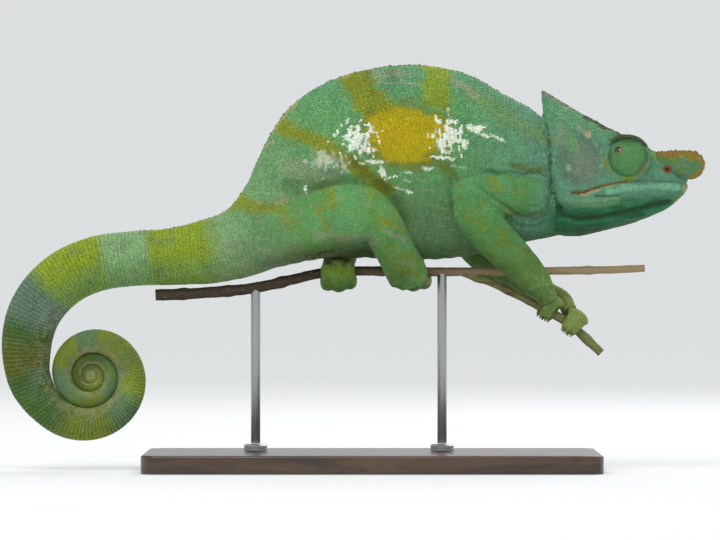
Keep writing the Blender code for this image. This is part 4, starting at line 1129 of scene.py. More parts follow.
def spread(points, least, blocked_by, seed):
    """Indices of points kept so that none lies closer than its least gap to one kept before it."""
    tree = search_tree(points)
    free = np.ones(len(points), bool)
    for point, gap in blocked_by:
        for _, other, _ in tree.find_range(point, gap):
            free[other] = False
    order = range(len(points)) if seed is None else np.random.default_rng(seed).permutation(len(points))
    kept = []
    for i in order:
        if free[i]:
            kept.append(i)
            for _, other, _ in tree.find_range(points[i], least[i]):
                free[other] = False
    return np.array(kept, int)


def bare(points, kind):
    """Where no scale grows: under the eyes and along the lips' parting."""
    under_eye = (kind == HEAD_KIND) & (eye_distance(points) < TURRET + 0.2)
    parting = (kind == HEAD_KIND) & (line_distance(points, LIPS) < 0.35)
    pit = (kind == HEAD_KIND) & (oval_share(points, NOSTRIL, (1.0, 0.8)) < 1)
    return under_eye | parting | pit


def body_course():
    """The body from neck to tail tip in one, so that its rows of scales run on without a break."""
    rows = body_rows()
    places = [*np.linspace(0, TAIL_JOIN, 180)[:-1], *tail_places(rows)]
    return body_form(TRUNK_KIND, rows, places, 110, "trunk")


class Coat:
    """Every scale's root on the skin, the way it faces, its run, size, colour and place on the unwrap."""

    def __init__(self, skin, forms, chart):
        surface = BVHTree.FromPolygons(points_of(skin).tolist(), [list(f.vertices) for f in skin.polygons])
        courses = [body_course(), *[form for form in forms if form.kind not in (TRUNK_KIND, TAIL_KIND)]]
        stray = np.random.default_rng(6)
        hits = []
        for form in courses:
            for point in laid_rows(form):
                place, normal, _, _ = surface.find_nearest(point[:3] + stray.normal(0, STRAY, 3), 1.3)
                if place is not None:
                    hits.append((*place, *normal, min(max(point[3], 0.5), 1.3), point[4]))
        rows = np.array(hits)
        pitch = chart.pitch[chart.nearest(rows[:, :3])] * np.minimum(rows[:, 6], 1)
        kept = spread(rows[:, :3], pitch * CROWD_GAP, [], None)
        rows, pitch = rows[kept], pitch[kept]
        plain = np.tile((SPARE_BREADTH, 0.0), (len(skin.vertices), 1))
        spare = np.column_stack([points_of(skin), normals_of(skin), plain])
        gaps = chart.pitch[chart.nearest(spare[:, :3])] * FILL_GAP
        fill = spare[spread(spare[:, :3], gaps, list(zip(rows[:, :3], pitch * FILL_GAP)), 5)]
        rows = np.concatenate([rows, fill])
        spot = chart.nearest(rows[:, :3])
        keep = ~bare(rows[:, :3], chart.kind[spot])
        rows, spot = rows[keep], spot[keep]
        self.root, self.facing, self.apart, self.spot = rows[:, :3], unit(rows[:, 3:6]), rows[:, 6], spot
        self.along = chart.run[spot]
        self.tint = markings(self.root, self.facing, chart, spot)
        self.size = self.sizes(chart)
        jitter = np.random.default_rng(8).uniform(-1, 1, (len(rows), 2))
        body = np.isin(chart.kind[spot], (TRUNK_KIND, TAIL_KIND))
        # Each scale gets its own random tone; on the body, rows are painted lighter and darker by turns, a
        # painted shade for the gaps between rows that grows towards the tail
        row_shade = body * (0.04 + 0.13 * smooth_share((chart.body_place(self.root, spot) - 11) / 14))
        shade = 1 + 0.12 * jitter[:, :1] + (0.05, 0, -0.06) * jitter[:, 1:] + (row_shade * rows[:, 7])[:, None]
        self.tint = np.clip(self.tint * shade, 0.003, 0.95)

    def sizes(self, chart):
        """Half length, half width and height: larger and taller on crests, smallest on face and feet."""
        kind, about, wild = chart.kind[self.spot], chart.about[self.spot], np.random.default_rng(9)
        half = chart.pitch[self.spot] * SCALE_BREADTH * wild.uniform(0.92, 1.08, len(about))
        height = half * SCALE_RISE * wild.uniform(0.8, 1.3, len(about))
        ridge = (np.minimum(about, 1 - about) < 0.006) & (kind == TRUNK_KIND)
        crest = (kind == HEAD_KIND) & (line_distance(self.root, TEMPLE_CREST) < 1.2)
        edge = (kind == HEAD_KIND) & (line_distance(self.root, CASQUE_EDGE) < 1.0)
        height[ridge] *= wild.uniform(1.2, 3.4, ridge.sum())
        height[crest | edge] *= wild.uniform(1.2, 2.2, (crest | edge).sum())
        half[ridge | crest | edge] *= RIDGE_GAIN
        return np.column_stack([half * self.apart, half, height])



def group_node(tree, kind, **settings):
    """A new node of that kind with its settings."""
    node = tree.nodes.new(kind)
    for key, value in settings.items():
        setattr(node, key, value)
    return node


def scale_tree(name, top_share):
    """Node tree that sets a five-sided scale on every point, sized, turned and coloured by the points."""
    tree = bpy.data.node_groups.new(name, "GeometryNodeTree")
    face = tree.interface
    face.new_socket("Roots", in_out="INPUT", socket_type="NodeSocketGeometry")
    sides = face.new_socket("Sides", in_out="INPUT", socket_type="NodeSocketInt")
    sides.default_value = SCALE_SIDES
    top = face.new_socket("Top share", in_out="INPUT", socket_type="NodeSocketFloat")
    top.default_value = top_share
    face.new_socket("Finish", in_out="INPUT", socket_type="NodeSocketMaterial")
    face.new_socket("Scales", in_out="OUTPUT", socket_type="NodeSocketGeometry")
    link = tree.links.new
    given, result = tree.nodes.new("NodeGroupInput"), tree.nodes.new("NodeGroupOutput")

    def named(attribute, data_type="FLOAT_VECTOR"):
        node = group_node(tree, "GeometryNodeInputNamedAttribute", data_type=data_type)
        node.inputs["Name"].default_value = attribute
        return node.outputs["Attribute"]

    def stored(source, attribute, value, data_type, domain):
        node = group_node(tree, "GeometryNodeStoreNamedAttribute", data_type=data_type, domain=domain)
        node.inputs["Name"].default_value = attribute
        link(source, node.inputs["Geometry"])
        link(value, node.inputs["Value"])
        return node.outputs["Geometry"]

    cone = group_node(tree, "GeometryNodeMeshCone", fill_type="NGON")
    link(given.outputs["Sides"], cone.inputs["Vertices"])
    link(given.outputs["Top share"], cone.inputs["Radius Top"])
    cone.inputs["Radius Bottom"].default_value = 1.0
    cone.inputs["Depth"].default_value = 1.0
    where = tree.nodes.new("GeometryNodeInputPosition").outputs[0]
    apart = tree.nodes.new("ShaderNodeSeparateXYZ")
    link(where, apart.inputs[0])
    scale = stored(cone.outputs["Mesh"], "rise", apart.outputs["Z"], "FLOAT", "POINT")
    patch = group_node(tree, "ShaderNodeVectorMath", operation="MULTIPLY")
    link(where, patch.inputs[0])
    patch.inputs[1].default_value = (PATCH, PATCH, 0.0)
    scale = stored(scale, "patch", patch.outputs[0], "FLOAT_VECTOR", "POINT")
    turn = group_node(tree, "FunctionNodeAxesToRotation", primary_axis="Z", secondary_axis="X")
    link(named("facing"), turn.inputs[0])
    link(named("along"), turn.inputs[1])
    placed = tree.nodes.new("GeometryNodeInstanceOnPoints")
    link(given.outputs["Roots"], placed.inputs["Points"])
    link(scale, placed.inputs["Instance"])
    link(turn.outputs[0], placed.inputs["Rotation"])
    link(named("size"), placed.inputs["Scale"])
    real = tree.nodes.new("GeometryNodeRealizeInstances")
    link(placed.outputs["Instances"], real.inputs["Geometry"])
    place = group_node(tree, "ShaderNodeVectorMath", operation="ADD")
    link(named("root_place"), place.inputs[0])
    link(named("patch"), place.inputs[1])
    mapped = stored(real.outputs["Geometry"], "OFBake", place.outputs[0], "FLOAT2", "CORNER")
    soft = tree.nodes.new("GeometryNodeSetShadeSmooth")
    link(mapped, soft.inputs["Geometry"])
    finish = tree.nodes.new("GeometryNodeSetMaterial")
    link(soft.outputs["Geometry"], finish.inputs["Geometry"])
    link(given.outputs["Finish"], finish.inputs["Material"])
    link(finish.outputs["Geometry"], result.inputs[0])
    return tree


def grown(name, tree, root, facing, along, size, tint, root_place, finish):
    """Scales grown on their roots by the tree, as a plain mesh object."""
    mesh = bpy.data.meshes.new(name + "_roots")
    mesh.from_pydata(root * MM, [], [])
    vectors = {"facing": facing, "along": along, "size": size * MM,
               "root_place": np.column_stack([root_place, np.zeros(len(root))])}
    for key, values in vectors.items():
        made = mesh.attributes.new(key, "FLOAT_VECTOR", "POINT")
        made.data.foreach_set("vector", values.astype(np.float32).ravel())
    painted(mesh, tint)
    holder = linked(name, mesh)
    step = holder.modifiers.new("scales", "NODES")
    step.node_group = tree
    for item in tree.interface.items_tree:
        if item.in_out == "INPUT" and item.name == "Finish":
            step[item.identifier] = finish
    result = settled(holder, name)
    for key in (*vectors, "patch"):
        if key in result.attributes:
            result.attributes.remove(result.attributes[key])
    return linked(name, result)


def coat_pieces(coat, forms, chart, tree, finish):
    """The coat in pieces by part of the body, each with its own unwrap of the forms that it covers."""
    made = []
    for coat_name in sorted({form.coat for form in forms}):
        members = [i for i, form in enumerate(forms) if form.coat == coat_name]
        mine = np.flatnonzero(np.isin(chart.form[coat.spot], members))
        order = mine[np.lexsort((chart.along[coat.spot[mine]], chart.form[coat.spot[mine]]))]
        count = math.ceil(len(order) / COAT_LIMIT)
        for number, chosen in enumerate(np.array_split(order, count), 1):
            spot = coat.spot[chosen]
            tiles = {form: k for k, form in enumerate(sorted(set(chart.form[spot].tolist())))}
            tile = np.array([tiles[form] for form in chart.form[spot].tolist()])
            along = chart.along[spot]
            low, high = along.min(), along.max()
            across = (tile + 0.02 + 0.96 * chart.about[spot]) / len(tiles)
            up = 0.02 + 0.96 * (along - low) / max(high - low, 1e-6)
            name = f"scales_{coat_name}_{number}" if count > 1 else f"scales_{coat_name}"
            made.append(grown(name, tree, coat.root[chosen], coat.facing[chosen], coat.along[chosen],
                              coat.size[chosen], coat.tint[chosen], np.column_stack([across, up]), finish))
    return made


# ---------------------------------------------------------------- eyes, horns and claws

TURRET = EYE_RADIUS - 0.4  # the eye's skin, under its own fine scales
LID_OPENING = 1.7
EYEBALL_RADIUS, EYEBALL_DEPTH = 2.7, 7.85  # the ball's own radius and how far out its middle lies
GAZES = {-1: (-5.9, -8.4, 3.9), 1: (3.6, 9.6, 1.6)}  # the right eye looks back and up, the left ahead
TURRET_GREEN = (0.105, 0.305, 0.095)
EYE_PITCH, HORN_PITCH = 0.92, 0.95


def turned(axis, centre, profile, around):
    """Rings turned about an axis through centre, from a profile of (distance along it, radius)."""
    axis = unit(np.array(axis, float))
    side = unit(np.cross(axis, (0.3, 0.1, 1.0)))
    up = np.cross(axis, side)
    cos, sin = np.cos(turn_angles(around))[:, None], np.sin(turn_angles(around))[:, None]
    return np.array([np.array(centre) + axis * along + (side * cos + up * sin) * max(radius, 0.01)
                     for along, radius in profile])


def eye_centre(out):
    return np.array((EYE[0], EYE[1] * out, EYE[2]))


def turret_rings(out):
    lip = [(TURRET - 2.6, 0.0), (TURRET - 2.6, LID_OPENING * 0.8), (TURRET - 0.9, LID_OPENING * 0.92),
           (TURRET - 0.1, LID_OPENING * 1.05), (TURRET + 0.22, LID_OPENING * 1.3),
           (TURRET + 0.12, LID_OPENING * 1.6)]
    ball = []
    for theta in np.radians(np.arange(16, 178, 1.6)):
        ball.append((TURRET * math.cos(theta), TURRET * math.sin(theta)))
    return turned(GAZES[out], eye_centre(out), lip + ball + [(-TURRET, 0.0)], 72)


def turret_colours(points, out):
    """Mid green with painted shade under the brow and at its front and back, a brown corner and a dark rim
    round the opening.
    """
    away = unit(points - eye_centre(out))
    opening = np.degrees(np.arccos(np.clip(away @ unit(np.array(GAZES[out])), -1, 1)))
    colours = np.tile(TURRET_GREEN, (len(points), 1))
    # Painted shade: darker at the top under the brow and at the front and back edges
    colours = mixed(colours, DEEP, 0.75 * smooth_share((away[:, 2] - 0.5) / 0.4))
    colours = mixed(colours, DEEP, 0.5 * smooth_share((abs(away[:, 0]) - 0.7) / 0.3))
    colours = mixed(colours, PALE_TEAL, 0.3 * smooth_share(wander(points, 4.0, 41)))
    brown = smooth_share((away[:, 0] * 0.8 - away[:, 2] * 0.6 - 0.62) / 0.3)
    colours = mixed(colours, BROWN, 0.45 * brown)
    colours = mixed(colours, PINK_GREY, 0.55 * brown * smooth_share((0.5 - abs(away[:, 1])) / 0.2))
    colours = mixed(colours, MOSS, 0.4 * smooth_share(wander(points, 1.6, 43)))
    colours = mixed(colours, BROWN, 0.5 * bell(opening - 16.5, 3.0))
    return mixed(colours, (0.02, 0.022, 0.018), smooth_share((13.5 - opening) / 4))


def turret_coat(out):
    """Roots of the fine scales that ring the eye's opening: root, facing, along, size."""
    axis, centre = unit(np.array(GAZES[out])), eye_centre(out)
    roots, runs = [], []
    for number, theta in enumerate(np.arange(14.5, 128, math.degrees(EYE_PITCH * 0.88 / TURRET))):
        theta = math.radians(theta)
        count = round(2 * math.pi * TURRET * math.sin(theta) / EYE_PITCH)
        ring, wider = turned(axis, centre, [(TURRET * math.cos(t), TURRET * math.sin(t))
                                            for t in (theta, theta + 0.02)], count * 2)
        roots.append(ring[number % 2::2])
        runs.append((wider - ring)[number % 2::2])
    root = np.concatenate(roots)
    shown = out * (root[:, 1] - centre[1]) > 0.5
    root, along = root[shown], unit(np.concatenate(runs)[shown])
    wild = np.random.default_rng(31 + out)
    away = unit(root - centre + wild.normal(0, EYE_PITCH * 0.16, root.shape))
    half = EYE_PITCH * wild.uniform(0.5, 0.62, len(root))
    return centre + away * TURRET, away, along, np.column_stack([half, half, half * 0.42])


def ball_centre(out):
    return eye_centre(out) + unit(np.array(GAZES[out])) * EYEBALL_DEPTH


def eyeball_rings(out):
    turns = np.linspace(0, math.pi, 30)
    profile = [(EYEBALL_RADIUS * math.cos(turn), EYEBALL_RADIUS * math.sin(turn)) for turn in turns]
    return turned(GAZES[out], ball_centre(out), profile, 40)


def eyeball_colours(points, out):
    """A black pupil in a silvery gold ring."""
    away = unit(points - ball_centre(out)) @ unit(np.array(GAZES[out]))
    away = np.degrees(np.arccos(np.clip(away, -1, 1)))
    colours = np.tile((0.05, 0.03, 0.012), (len(points), 1))
    colours = mixed(colours, (0.34, 0.32, 0.24), bell(away - 30, 4.0))
    return mixed(colours, (0.004, 0.004, 0.005), smooth_share((22 - away) / 4))


def horn_form(out):
    rows = sampled(HORN, 48, 1.0)
    shape = np.column_stack([rows[:, :4], rows[:, 5], np.ones(len(rows))])
    return ovals(shape, 44, 0.3, rows[:, 4] * out)


def horn_colours(points):
    """Green along the blade's middle, orange brown and warty along its edge and tip."""
    middle = np.interp(points[:, 0], [r[0] for r in HORN], [(r[1] + r[3]) / 2 for r in HORN])
    half = np.interp(points[:, 0], [r[0] for r in HORN], [(r[1] - r[3]) / 2 for r in HORN])
    height = (points[:, 2] - middle) / np.maximum(half, 1)
    edge = height + 0.2 * wander(points, 3.0, 51)
    edge = np.maximum(edge, (points[:, 0] - 177.5) / 6 + 0.3 * wander(points, 2.0, 52))
    edge = np.maximum(edge, -height - 0.1 + (points[:, 0] - 178) / 9)
    green = np.multiply(TEAL, (0.84, 0.8, 0.84))
    colours = np.tile(green, (len(points), 1))
    colours = mixed(colours, np.multiply(LEAF, 0.84), 0.5 + 0.5 * wander(points, 3.0, 55))
    colours = mixed(colours, HORN_ORANGE, smooth_share((edge - 0.18) / 0.42))
    colours = mixed(colours, OLIVE, 0.35 * smooth_share(wander(points, 2.4, 56) * 2))
    colours = mixed(colours, TAN, 0.4 * smooth_share(wander(points, 1.4, 53) * 2 - 0.8))
    # The nostril: a rust ring, with painted shade in its pit
    for pit, radii in ((RUST, (2.8, 2.3)), (UMBER, (1.2, 1.0))):
        colours = mixed(colours, pit, smooth_share((1.2 - oval_share(points, NOSTRIL, radii)) / 0.35))
    rim = smooth_share((edge - 0.75) / 0.4) * smooth_share(wander(points, 1.8, 54) + 0.4)
    return mixed(colours, BROWN, 0.7 * rim)


def horn_coat(out, rings, surface):
    """Roots of the horn's scales, low on its side and warty on its edge, none inside the head."""
    form = Form(HEAD_KIND, rings, np.linspace(0, 1, len(rings)), HORN_PITCH, "horn")
    own = BVHTree.FromPolygons(*grid_polygons(rings))
    roots, facing = [], []
    for point in laid_rows(form)[:, :3]:
        place, normal, _, _ = own.find_nearest(point)
        skin, skin_normal, _, _ = surface.find_nearest(place)
        if (place - skin).dot(skin_normal) > 0.1:
            roots.append(place)
            facing.append(normal)
    root, facing = np.array(roots), unit(np.array(facing))
    inward = np.einsum("ij,ij->i", facing, root - nearest_axis(root, rings)) < 0
    facing[inward] *= -1
    wild = np.random.default_rng(61 + out).uniform(0, 1, len(root))
    warty = smooth_share((1 - abs(facing[:, 1])) * 1.6 - 0.2)
    half = HORN_PITCH * (0.54 + 0.34 * wild ** 3)
    height = half * (0.3 + 0.85 * warty * wild ** 2)
    return root, facing, np.tile((1.0, 0, 0), (len(root), 1)), np.column_stack([half, half, height])


def nearest_axis(points, rings):
    """The middle of the ring nearest to each point."""
    middles = rings.mean(axis=1)
    gaps = np.linalg.norm(points[:, None] - middles[None], axis=2)
    return middles[gaps.argmin(axis=1)]


def unrolled(points, middle, axis):
    """Each point's place on an unwrap of a rounded shape: how far round that axis, and how far along it."""
    away = points - middle
    first, second = [k for k in range(3) if k != axis]
    around = np.arctan2(away[:, second], away[:, first]) / (2 * math.pi) + 0.5
    along = points[:, axis] - points[:, axis].min()
    return 0.02 + 0.96 * np.column_stack([around, along / along.max()])


def grid_polygons(rings):
    """Vertices and faces of a loft's side, for a search tree."""
    rows, around = rings.shape[:2]
    grid = np.arange(rows * around).reshape(rows, around)
    beside = np.roll(grid, -1, axis=1)
    quads = np.stack([grid[:-1], beside[:-1], beside[1:], grid[1:]], axis=-1).reshape(-1, 4)
    return rings.reshape(-1, 3).tolist(), quads.tolist()


# ---------------------------------------------------------------- the perch and the stand

KNOTS = {"main": ((-104, 0.5), (-79, 0.35), (-50, 0.45), (5, 0.3), (58, 0.55), (86, 0.35), (119, 0.4)),
         "fork": ((58, 0.5), (75, 0.4), (118, 0.5))}
BASE = (250.0, 116.0, 10.0)
BASE_CORNER, BASE_EDGE = 9.0, 1.6
ROD_RADIUS, ROD_PLACES = 2.6, (-64.0, 38.5)
COLLAR_RADIUS, COLLAR_HEIGHT, CUT = 6.5, 4.0, 0.35


def twig_rings(name, table, seed):
    """The twig's rings, with knots and with shallow ridges in its bark."""
    rows = sampled(table, 220)
    swell = sum(size * bell(rows[:, 0] - x, 2.6) for x, size in KNOTS[name])
    radius = rows[:, 2] + swell
    path = np.column_stack([rows[:, 0], np.zeros(len(rows)), rows[:, 1], radius, radius])
    rings = sweep(path, np.array((0, 1.0, 0)), 28, 0.0)
    middle = rings.mean(axis=1, keepdims=True)
    away = rings - middle
    rough = wander(rings.reshape(-1, 3) * (0.35, 1, 1), 1.3, seed).reshape(rings.shape[:2])
    rough += 0.6 * wander(rings.reshape(-1, 3) * (0.8, 1, 1), 0.7, seed + 1).reshape(rings.shape[:2])
    return middle + away * (1 + 0.045 * rough)[:, :, None]


def base_mesh():
    work = bmesh.new()
    bmesh.ops.create_cube(work, size=1.0)
    for vert in work.verts:
        x, y, z = vert.co
        vert.co = Vector((x * BASE[0], y * BASE[1], (z + 0.5) * BASE[2])) * MM
    upright = [e for e in work.edges if abs(e.verts[0].co.z - e.verts[1].co.z) > MM]
    bmesh.ops.bevel(work, geom=upright, offset=BASE_CORNER * MM, segments=10, profile=0.5, affect="EDGES")
    for height, offset in ((BASE[2], BASE_EDGE), (0.0, 0.4)):
        rim = [e for e in work.edges if all(abs(v.co.z - height * MM) < 1e-6 for v in e.verts)
               and len(e.link_faces) == 2 and any(abs(f.normal.z) < 0.5 for f in e.link_faces)]
        bmesh.ops.bevel(work, geom=rim, offset=offset * MM, segments=4, profile=0.55, affect="EDGES")
    mesh = bpy.data.meshes.new("stand_base")
    work.to_mesh(mesh)
    work.free()
    return outward(mesh)


def collar_profile():
    low, high, wide = BASE[2] + CUT, BASE[2] + CUT + COLLAR_HEIGHT, COLLAR_RADIUS
    return [(low, 0), (low, wide - 0.5), (low + 0.5, wide), (low + 1.5, wide), (low + 1.7, wide - 0.25),
            (low + 2.0, wide - 0.25), (low + 2.2, wide), (high - 0.9, wide), (high - 0.25, wide - 0.65),
            (high, wide - 1.3), (high, 0)]


def rod_profile(x):
    low = BASE[2] + CUT * 2 + COLLAR_HEIGHT
    high = twig_frame(MAIN_TWIG, x)[0][2] - 0.5
    return [(low, 0), (low, ROD_RADIUS - 0.2), (low + 0.3, ROD_RADIUS), (high - 0.5, ROD_RADIUS),
            (high, ROD_RADIUS - 0.5), (high, 0)]


# ---------------------------------------------------------------- the finishes

class Finish:
    """A material on the Principled shader, with short ways to add its nodes."""

    def __init__(self, name, roughness=0.5, metallic=0.0):
        self.material = bpy.data.materials.new(name)
        self.material.use_nodes = True
        self.tree = self.material.node_tree
        self.shader = self.tree.nodes["Principled BSDF"]
        self.shader.inputs["Roughness"].default_value = roughness
        self.shader.inputs["Metallic"].default_value = metallic

    def node(self, kind, **inputs):
        """A node, with inputs given by name as a value or as another node's output."""
        made = self.tree.nodes.new(kind)
        for key, value in inputs.items():
            self.put(made.inputs[key.replace("_", " ")], value)
        return made

    def put(self, socket, value):
        if isinstance(value, bpy.types.NodeSocket):
            self.tree.links.new(value, socket)
        else:
            socket.default_value = value

    def attribute(self, name, output="Color"):
        made = self.tree.nodes.new("ShaderNodeAttribute")
        made.attribute_name = name
        return made.outputs[output]

    def places(self, scale=(1, 1, 1)):
        """Object coordinates, stretched."""
        where = self.tree.nodes.new("ShaderNodeTexCoord").outputs["Object"]
        return self.node("ShaderNodeMapping", Vector=where, Scale=scale).outputs["Vector"]

    def noise(self, size, detail=4.0, scale=(1, 1, 1)):
        """Noise with blotches about size millimetres across."""
        made = self.node("ShaderNodeTexNoise", Vector=self.places(scale), Scale=1 / (size * MM),
                         Detail=detail)
        return made.outputs["Fac"]

    def mapped(self, value, low, high, to_low, to_high):
        made = self.node("ShaderNodeMapRange", Value=value)
        for key, number in (("From Min", low), ("From Max", high), ("To Min", to_low), ("To Max", to_high)):
            made.inputs[key].default_value = number
        return made.outputs["Result"]

    def mix(self, first, second, share, blend="MIX"):
        made = self.tree.nodes.new("ShaderNodeMix")
        made.data_type, made.blend_type = "RGBA", blend
        for socket, value in ((made.inputs[0], share), (made.inputs[6], first), (made.inputs[7], second)):
            self.put(socket, value if isinstance(value, (bpy.types.NodeSocket, float)) else (*value, 1.0))
        return made.outputs[2]

    def grey(self, value):
        """A grey of that brightness, for multiplying a colour."""
        made = self.node("ShaderNodeCombineColor", Red=value, Green=value, Blue=value)
        return made.outputs["Color"]

    def bump(self, height, strength, distance, normal=None):
        made = self.node("ShaderNodeBump", Height=height, Strength=strength, Distance=distance * MM)
        if normal:
            self.put(made.inputs["Normal"], normal)
        return made.outputs["Normal"]

    def colour(self, value):
        self.put(self.shader.inputs["Base Color"], value)

    def roughness(self, value):
        self.put(self.shader.inputs["Roughness"], value)

    def normal(self, value):
        self.put(self.shader.inputs["Normal"], value)


def scale_finish():
    """Scales: their own colour with painted shade at the root, finely mottled, with a dull satin gloss."""
    made = Finish("chameleon_scales")
    # Painted shade: each scale darker towards its root, where it meets the skin
    rise = made.mapped(made.attribute("rise", "Fac"), 0.0, 0.9, 0.84, 1.04)
    mottle = made.mapped(made.noise(0.8, 3.0), 0.3, 0.7, 0.9, 1.1)
    colour = made.mix(made.attribute("tint"), made.grey(rise), 1.0, "MULTIPLY")
    made.colour(made.mix(colour, made.grey(mottle), 1.0, "MULTIPLY"))
    made.roughness(made.mapped(made.noise(6.0, 2.0), 0.3, 0.7, 0.52, 0.7))
    made.normal(made.bump(made.noise(0.5, 3.0), 0.35, 0.1))
    made.shader.inputs["Specular IOR Level"].default_value = 0.18
    return made.material


def skin_finish():
    """Skin between the scales: the same markings, darker as painted shade that deepens at the pebbles' edges,
    and finely pebbled.
    """
    made = Finish("chameleon_skin")
    pebbles = made.node("ShaderNodeTexVoronoi", Vector=made.places(), Scale=1 / (0.75 * MM))
    # Painted shade between the pebbles: darker away from each pebble's middle
    shade = made.mapped(pebbles.outputs["Distance"], 0.0, 0.8, 0.95, 0.75)
    made.colour(made.mix(made.attribute("tint"), made.grey(shade), 1.0, "MULTIPLY"))
    made.roughness(made.mapped(made.noise(3.0, 3.0), 0.3, 0.7, 0.55, 0.75))
    made.normal(made.bump(made.mapped(pebbles.outputs["Distance"], 0.0, 0.8, 1.0, 0.0), 0.6, 0.2))
    made.shader.inputs["Specular IOR Level"].default_value = 0.2
    return made.material


def turret_finish():
    made = Finish("eye_turret_skin")
    mottle = made.mapped(made.noise(0.6, 3.0), 0.3, 0.7, 0.8, 1.1)
    made.colour(made.mix(made.attribute("tint"), made.grey(mottle), 1.0, "MULTIPLY"))
    made.roughness(made.mapped(made.noise(1.5, 2.0), 0.3, 0.7, 0.4, 0.55))
    made.normal(made.bump(made.noise(0.4, 3.0), 0.4, 0.12))
    return made.material


def eyeball_finish():
    made = Finish("wet_eye", roughness=0.06)
    fleck = made.mapped(made.noise(0.25, 2.0), 0.35, 0.65, 0.75, 1.2)
    made.colour(made.mix(made.attribute("tint"), made.grey(fleck), 1.0, "MULTIPLY"))
    made.shader.inputs["Coat Weight"].default_value = 0.8
    made.shader.inputs["Coat Roughness"].default_value = 0.03
    return made.material


def claw_finish():
    made = Finish("claw_horn")
    streak = made.mapped(made.noise(0.9, 3.0), 0.3, 0.7, 0.0, 1.0)
    made.colour(made.mix((0.16, 0.125, 0.06), (0.40, 0.35, 0.19), streak))
    made.roughness(made.mapped(made.noise(1.2, 2.0), 0.3, 0.7, 0.28, 0.42))
    made.normal(made.bump(made.noise(0.4, 2.0), 0.3, 0.08))
    return made.material


def bark_finish(name, dark, light, moss, worn=None):
    """Thin smooth bark with fine long cracks, lenticels and a bloom of another colour."""
    made = Finish(name)
    grain = made.noise(1.6, 6.0, (0.22, 1, 1))
    bloom = made.mapped(made.noise(14.0, 3.0), 0.42, 0.66, 0.0, 0.75)
    colour = made.mix(dark, light, made.mapped(grain, 0.35, 0.68, 0.0, 1.0))
    colour = made.mix(colour, moss, bloom)
    if worn:
        run = made.node("ShaderNodeSeparateXYZ", Vector=made.places()).outputs["X"]
        colour = made.mix(colour, worn, made.mapped(run, -0.02, 0.09, 0.0, 0.75))
    spots = made.node("ShaderNodeTexVoronoi", Vector=made.places((0.6, 1.6, 1.6)), Scale=1 / (3.2 * MM))
    pale = made.mapped(spots.outputs["Distance"], 0.08, 0.2, 0.55, 0.0)
    made.colour(made.mix(colour, (0.30, 0.24, 0.16), pale))
    made.roughness(made.mapped(grain, 0.3, 0.7, 0.62, 0.85))
    made.normal(made.bump(grain, 0.7, 0.35, made.bump(made.noise(0.5, 4.0), 0.4, 0.12)))
    return made.material


def varnished_wood():
    """Dark walnut, its grain along the base, under satin varnish."""
    made = Finish("dark_walnut", roughness=0.3)
    broad = made.node("ShaderNodeTexNoise", Vector=made.places((0.1, 1.0, 1.0)), Scale=1 / (9 * MM),
                      Detail=5.0, Distortion=0.6).outputs["Fac"]
    pores = made.noise(0.7, 3.0, (0.06, 1, 1))
    colour = made.mix((0.022, 0.011, 0.006), (0.095, 0.048, 0.022), made.mapped(broad, 0.36, 0.64, 0.0, 1.0))
    made.colour(made.mix(colour, (0.012, 0.007, 0.004), made.mapped(pores, 0.58, 0.7, 0.0, 0.7)))
    made.roughness(made.mapped(pores, 0.3, 0.7, 0.27, 0.42))
    made.normal(made.bump(pores, 0.18, 0.1))
    made.shader.inputs["Coat Weight"].default_value = 0.35
    made.shader.inputs["Coat Roughness"].default_value = 0.18
    return made.material


def brushed_metal():
    """Brushed steel, its fine scratches running round the rod."""
    made = Finish("brushed_steel", metallic=1.0)
    lines = made.noise(0.25, 3.0, (0.2, 0.2, 1.0))
    made.colour(made.mix((0.30, 0.30, 0.31), (0.46, 0.46, 0.47), made.mapped(lines, 0.3, 0.7, 0.0, 1.0)))
    made.roughness(made.mapped(lines, 0.3, 0.7, 0.26, 0.44))
    made.normal(made.bump(lines, 0.12, 0.05))
    return made.material


# ---------------------------------------------------------------- the scene

CAMERA_AIM, CAMERA_AWAY, FRAME_WIDTH, SENSOR = (-6.6, 0.0, 110.0), 2600.0, 396.0, 36.0
FLOOR_RADIUS = 30.0
ROOM_LIGHT = (0.72, 0.74, 0.75)  # what the pale room sends from all around
FLOOR_SHADE = 0.62


def dressed(name, mesh, finish, nodes):
    """The mesh as a finished piece that stands for those nodes."""
    piece = mesh if isinstance(mesh, bpy.types.Object) else linked(name, mesh)
    if not piece.data.materials:
        piece.data.materials.append(finish)
    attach(piece, "root")
    if nodes:
        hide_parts(*nodes)
    return piece


FLESH = [
    "neck", "chest", "abdomen", "pelvis", "head", "jaw", "tail_root", "tail_middle", "tail_bend", "tail_drop",
    "tail_coil_outer", "tail_coil_upper", "tail_coil_inner", "tail_tip",
    *[f"{part}_{side}" for part in ("thigh", "shin", "upper_arm", "forearm") for side in ("left", "right")],
    *[f"{foot}_toes_{side}_{bundle}" for foot in ("hind", "fore") for side in ("left", "right")
      for bundle in ("inner", "outer")],
]


